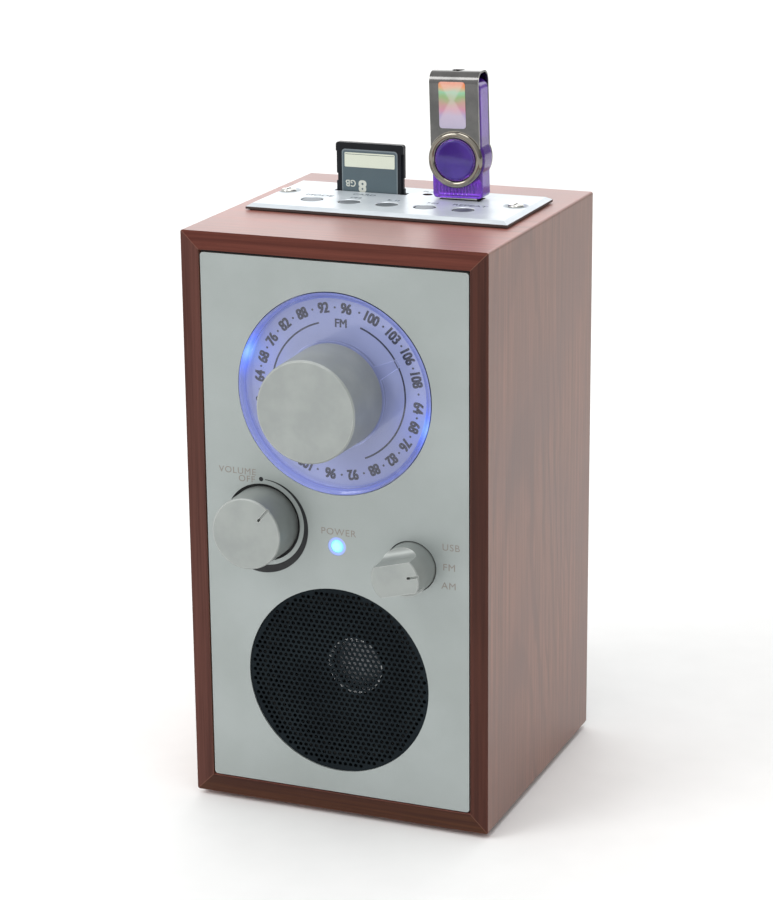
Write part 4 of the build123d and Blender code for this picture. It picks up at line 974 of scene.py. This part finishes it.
def perforated_grille():
    """A round black sheet with staggered rows of holes, and the rim that stands it off the baffle."""
    mesh = grille_mesh()
    front = low_of("speaker_grille").y
    place = Matrix((RIGHT, UP, -BACK)).transposed().to_4x4()
    place.translation = Vector((GRILLE.x, front + GRILLE_SHEET / 2, GRILLE.z))
    mesh.transform(place)
    shape = bmesh.new()
    shape.from_mesh(mesh)
    bpy.data.meshes.remove(mesh)
    bmesh.ops.remove_doubles(shape, verts=shape.verts, dist=MERGE_DISTANCE)
    material = frame["nodes"]["speaker_grille"].data.materials[0]
    sheet = show("grille_sheet", shape, material, "cabinet")
    smooth_by_angle(sheet, 40)

    depth = high_of("speaker_grille").y - front
    inner = GRILLE_RADIUS - GRILLE_WALL
    outline = ((inner, GRILLE_SHEET), (GRILLE_RADIUS, GRILLE_SHEET), (GRILLE_RADIUS, depth), (inner, depth))
    centre = Vector((GRILLE.x, front, GRILLE.z))
    turned_piece("grille_rim", centre, outline, material, "cabinet")
    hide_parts("speaker_grille")


def dust_cap_rim():
    """The bright rolled rim where the dust cap is glued to the cone."""
    cap_high = high_of("speaker_dust_cap")
    reach = cap_high.x - GRILLE.x
    tube, steps = 0.45 * MM, 12
    turns = [math.tau * step / steps for step in range(steps)]
    outline = [(reach + tube * math.cos(turn), tube * math.sin(turn)) for turn in turns]
    centre = Vector((GRILLE.x, cap_high.y - 0.5 * MM, GRILLE.z))
    metal = satin_metal("dust_cap_rim_metal", GRILLE, ("#dfe2e4", "#eef0f1"), 0.16)
    turned_piece("dust_cap_rim", centre, outline, metal, "cone")


# ---- Top plate print ----
def plate_print():
    """Names and signs behind the five buttons, and by the card slot and the small lamp."""
    art = Artwork(Vector((0.0, 0.0, PLATE_FACE)), RIGHT, BACK)
    behind = Vector((0.0, 6.6 * MM, 0.0))
    mode, previous, play, following, repeat = (middle(button) + behind for button in BUTTONS)
    for text, place in (("MODE", mode), ("REPEAT", repeat)):
        art.letters(text, place.x, place.y, 2.1 * MM, narrow=1.15, bold=0.015)

    def triangle(x, y, way):
        half, length = 0.9 * MM, 1.5 * MM
        points = [(x, y - half), (x + way * length, y), (x, y + half)]
        art.outline(points if way > 0 else points[::-1])

    def bar(x, y):
        art.patch(x, y, 0.4 * MM, 1.8 * MM, 0.1 * MM)

    for place, way in ((previous, -1), (following, 1)):
        for step in (-1, 0):
            triangle(place.x + way * step * 1.5 * MM, place.y, way)
        bar(place.x + way * 1.9 * MM, place.y)
    triangle(play.x - 2.2 * MM, play.y, 1)
    for step in (0.6, 1.5):
        bar(play.x + step * MM, play.y)

    card, lamp = middle("memory_card"), middle("mode_lamp")
    art.letters("CARD", card.x, card.y - 5.6 * MM, 1.9 * MM, narrow=1.1, bold=0.015)
    art.letters("PLAY", lamp.x - 0.4 * MM, lamp.y + 4.4 * MM, 1.5 * MM, narrow=1.1)
    art.show("plate_print", ink("plate_ink", "#4c5864", "#66727e"), "cabinet", "plate_metal")


# ---- Card label ----
LABEL_WIDTH, LABEL_HEIGHT = 19.8 * MM, 21.0 * MM
LABEL_RECESS = 0.15 * MM
LABEL_BELOW_CROWN = 2.2 * MM
FIELD_HEIGHT = 4.8 * MM


def card_label():
    """Slate label with a pale border, a cream writing field and the card's capacity, printed upside down."""
    face = low_of("memory_card").y + LABEL_RECESS
    centre_z = high_of("memory_card").z - LABEL_BELOW_CROWN - LABEL_HEIGHT / 2
    origin = Vector((CARD.x, face, centre_z))

    def layer(name, material, lift, thickness, *patch):
        art = Artwork(origin, RIGHT, UP, thickness * MM, lift * MM)
        art.patch(0.0, *patch)
        art.show(name, material, "card", "card_plastic")

    border = ink("card_border", "#788388", "#88949a")
    layer("card_label_border", border, 0.01, 0.05, 0.0, LABEL_WIDTH, LABEL_HEIGHT, 1.2 * MM)
    slate = ink("card_slate", "#4f5f66", "#5a6a70", 0.35)
    inset = 0.7 * MM
    layer("card_label", slate, 0.05, 0.04, -0.1 * MM, LABEL_WIDTH - inset, LABEL_HEIGHT - inset, 0.9 * MM)
    cream = ink("card_cream", "#dde2cf", "#e6ead9")
    field_z = LABEL_HEIGHT / 2 - 1.1 * MM - FIELD_HEIGHT / 2
    field_width = LABEL_WIDTH - 2.0 * MM
    layer("card_writing_field", cream, 0.08, 0.03, field_z, field_width, FIELD_HEIGHT, 0.4 * MM)
    dark = ink("card_dark", "#4c565a", "#5d676b")
    rule_z = field_z + FIELD_HEIGHT / 2 - 0.55 * MM
    layer("card_rule", dark, 0.105, 0.01, rule_z, LABEL_WIDTH - 2.4 * MM, 0.16 * MM, 0.07 * MM)
    text = Artwork(origin, RIGHT, UP, 0.02 * MM, 0.09 * MM)
    text.letters("8", -2.6 * MM, -1.7 * MM, 3.8 * MM, 180, 1.0, 0.06)
    text.letters("GB", -6.8 * MM, -0.9 * MM, 2.2 * MM, 180, 0.9, 0.02)
    text.show("card_capacity", ink("card_white", "#d9dbd0", "#c6c9c0"), "card", "card_plastic")


# ---- Stick details ----
STICK_THICKNESS = 8.0 * MM


def on_stick(right, up, depth):
    """A point that far right, up and back from the stick's pivot, along the leaning stick."""
    return RING + STICK_RIGHT * right + STICK_UP * up + BACK * depth


def stick_sticker():
    face = low_of("stick_cover").y + RING_STAND
    origin = on_stick(STICKER_SIDE, STICKER_RISE, face - RING.y)
    art = Artwork(origin, STICK_RIGHT, STICK_UP, 0.06 * MM)
    art.patch(0.0, 0.0, STICKER_WIDTH, STICKER_HEIGHT, 1.0 * MM)
    art.show("stick_sticker", rainbow_film(), "swivel", "gunmetal")


def stick_discs():
    """A shallow dished disc on each end of the stick's pivot boss."""
    violet = violet_plastic("stick_disc_violet", "#361b84", "#452898", 0.15)
    low, high = low_of("stick_body").y, high_of("stick_body").y
    for name, face, way in (("stick_disc_front", low, -1), ("stick_disc_back", high, 1)):
        outline = [
            (0.0, 0.0), (6.4 * MM, 0.0), (6.4 * MM, way * 0.16 * MM), (6.1 * MM, way * 0.30 * MM),
            (5.7 * MM, way * 0.30 * MM), (5.3 * MM, way * 0.12 * MM), (0.0, way * 0.18 * MM),
        ]
        centre = Vector((RING.x, face, RING.z))
        turned_piece(name, centre, outline, violet, "stick")


RIB_PITCH, RIB_MIDDLE, DOT_ROW = 1.15 * MM, -9.7 * MM, -11.35 * MM


def stick_ribs():
    """Moulded ribs and a row of dots on the lower part of the stick's two faces."""
    violet = violet_plastic("stick_rib_violet", "#7438d8", "#9058ec", 0.6)
    pale = ink("stick_dot_ink", "#c9bfe6", "#b5a8dc")
    for side, way in (("front", -1), ("back", 1)):
        right = STICK_RIGHT * -way
        origin = on_stick(0.0, 0.0, way * STICK_THICKNESS / 2)
        ribs = Artwork(origin, right, STICK_UP, 0.10 * MM, 0.0)
        for i in range(-5, 6):
            ribs.patch(i * RIB_PITCH, RIB_MIDDLE, 0.5 * MM, 2.6 * MM, 0.24 * MM)
        ribs.show(f"stick_ribs_{side}", violet, "stick", "violet_plastic")
        dots = Artwork(origin, right, STICK_UP, 0.04 * MM, 0.0)
        for i in range(-3, 3):
            dots.disc((i * 1.5 + 0.2) * MM, DOT_ROW, 0.14 * MM, 12)
        dots.show(f"stick_dots_{side}", pale, "stick", "violet_plastic")


# ---- Rear print ----
def rear_print():
    """Names of the two sockets, read from behind."""
    art = Artwork(Vector((0.0, REAR_FACE, 0.0)), -RIGHT, UP)
    above = 7.2 * MM
    for node, text in (("aux_jack", "AUX"), ("dc_inlet", "DC")):
        place = middle(node)
        art.letters(text, -place.x, place.z + above, 2.4 * MM, narrow=1.1)
    art.show("rear_names", ink("rear_ink", "#b4b4b0", "#a0a09c"), "cabinet", "black_plastic")


# ---- Studio ----
def floor_finish():
    finish = Finish("floor_paper", Roughness=0.85)
    grain = finish.noise(finish.position, 60.0, 3.0)
    finish.set("Base Color", finish.blend(grain, colour("#efefee"), colour("#f5f5f4")))
    return finish.material


FLOOR_HALF = 6.0


def studio_floor():
    mesh = bpy.data.meshes.new("floor")
    corners = [(x * FLOOR_HALF, y * FLOOR_HALF, 0) for x, y in ((-1, -1), (1, -1), (1, 1), (-1, 1))]
    mesh.from_pydata(corners, [], [(0, 1, 2, 3)])
    mesh.materials.append(floor_finish())
    floor = bpy.data.objects.new("floor", mesh)
    bpy.context.scene.collection.objects.link(floor)


BRIGHT_SIDE = Vector((-0.62, -0.28, 0.73))


def studio_world():
    """A white room that is darker low down, to the right and behind, so that metal shows some form."""
    world = bpy.data.worlds.new("studio")
    bpy.context.scene.world = world
    world.use_nodes = True
    nodes = Nodes(world.node_tree)
    background = world.node_tree.nodes["Background"]
    direction = nodes.add("TexCoord").outputs["Generated"]
    facing = nodes.vector("DOT_PRODUCT", direction, BRIGHT_SIDE)
    shade = nodes.blend(nodes.ramp(facing, -0.9, 0.75), colour("#6c6f72"), WHITE)
    nodes.feed(background.inputs["Color"], shade)
    background.inputs["Strength"].default_value = 0.95


# Name, place, disc size and power of each light.
LIGHTS = (
    ("key", (-1.1, -1.3, 1.5), 1.1, 13.5),
    ("above", (0.15, -0.12, 1.7), 0.8, 6.0),
    ("back", (-0.4, 2.7, 1.2), 3.2, 32.0),
)
LIGHTS_AIM = Vector((0.0, 0.0, 0.12))


def studio_lights():
    for name, place, size, power in LIGHTS:
        light = bpy.data.lights.new(name, "AREA")
        light.shape = "DISK"
        light.size = size
        light.energy = power
        lamp = bpy.data.objects.new(name, light)
        lamp.location = place
        lamp.rotation_mode = "QUATERNION"
        lamp.rotation_quaternion = (LIGHTS_AIM - Vector(place)).to_track_quat("-Z", "Y")
        bpy.context.scene.collection.objects.link(lamp)


CAMERA_PLACE = Vector((0.32112, -0.77839, 0.36429))
CAMERA_AZIMUTH, CAMERA_ELEVATION, CAMERA_ROLL = 22.324, 16.565, -0.566
CAMERA_LENS = 107.1


def camera():
    data = bpy.data.cameras.new("camera")
    data.lens = CAMERA_LENS
    data.clip_start, data.clip_end = 0.01, 50.0
    holder = bpy.data.objects.new("camera", data)
    azimuth, elevation, roll = map(math.radians, (CAMERA_AZIMUTH, CAMERA_ELEVATION, CAMERA_ROLL))
    towards = Vector((
        math.sin(azimuth) * math.cos(elevation),
        -math.cos(azimuth) * math.cos(elevation),
        math.sin(elevation),
    ))
    level = (-towards).cross(UP).normalized()
    upright = level.cross(-towards)
    right = math.cos(roll) * level + math.sin(roll) * upright
    up = -math.sin(roll) * level + math.cos(roll) * upright
    turned = Matrix((right, up, towards)).transposed().to_4x4()
    holder.matrix_world = Matrix.Translation(CAMERA_PLACE) @ turned
    bpy.context.scene.collection.objects.link(holder)
    bpy.context.scene.camera = holder


bpy.context.scene.view_settings.view_transform = "Standard"
camera()
studio_world()
studio_lights()
studio_floor()

finish_wood()
finish_front()
finish_top()
finish_rest()

dial_print()
panel_print()
perforated_grille()
dust_cap_rim()
plate_print()
card_label()
stick_sticker()
stick_discs()
stick_ribs()
rear_print()
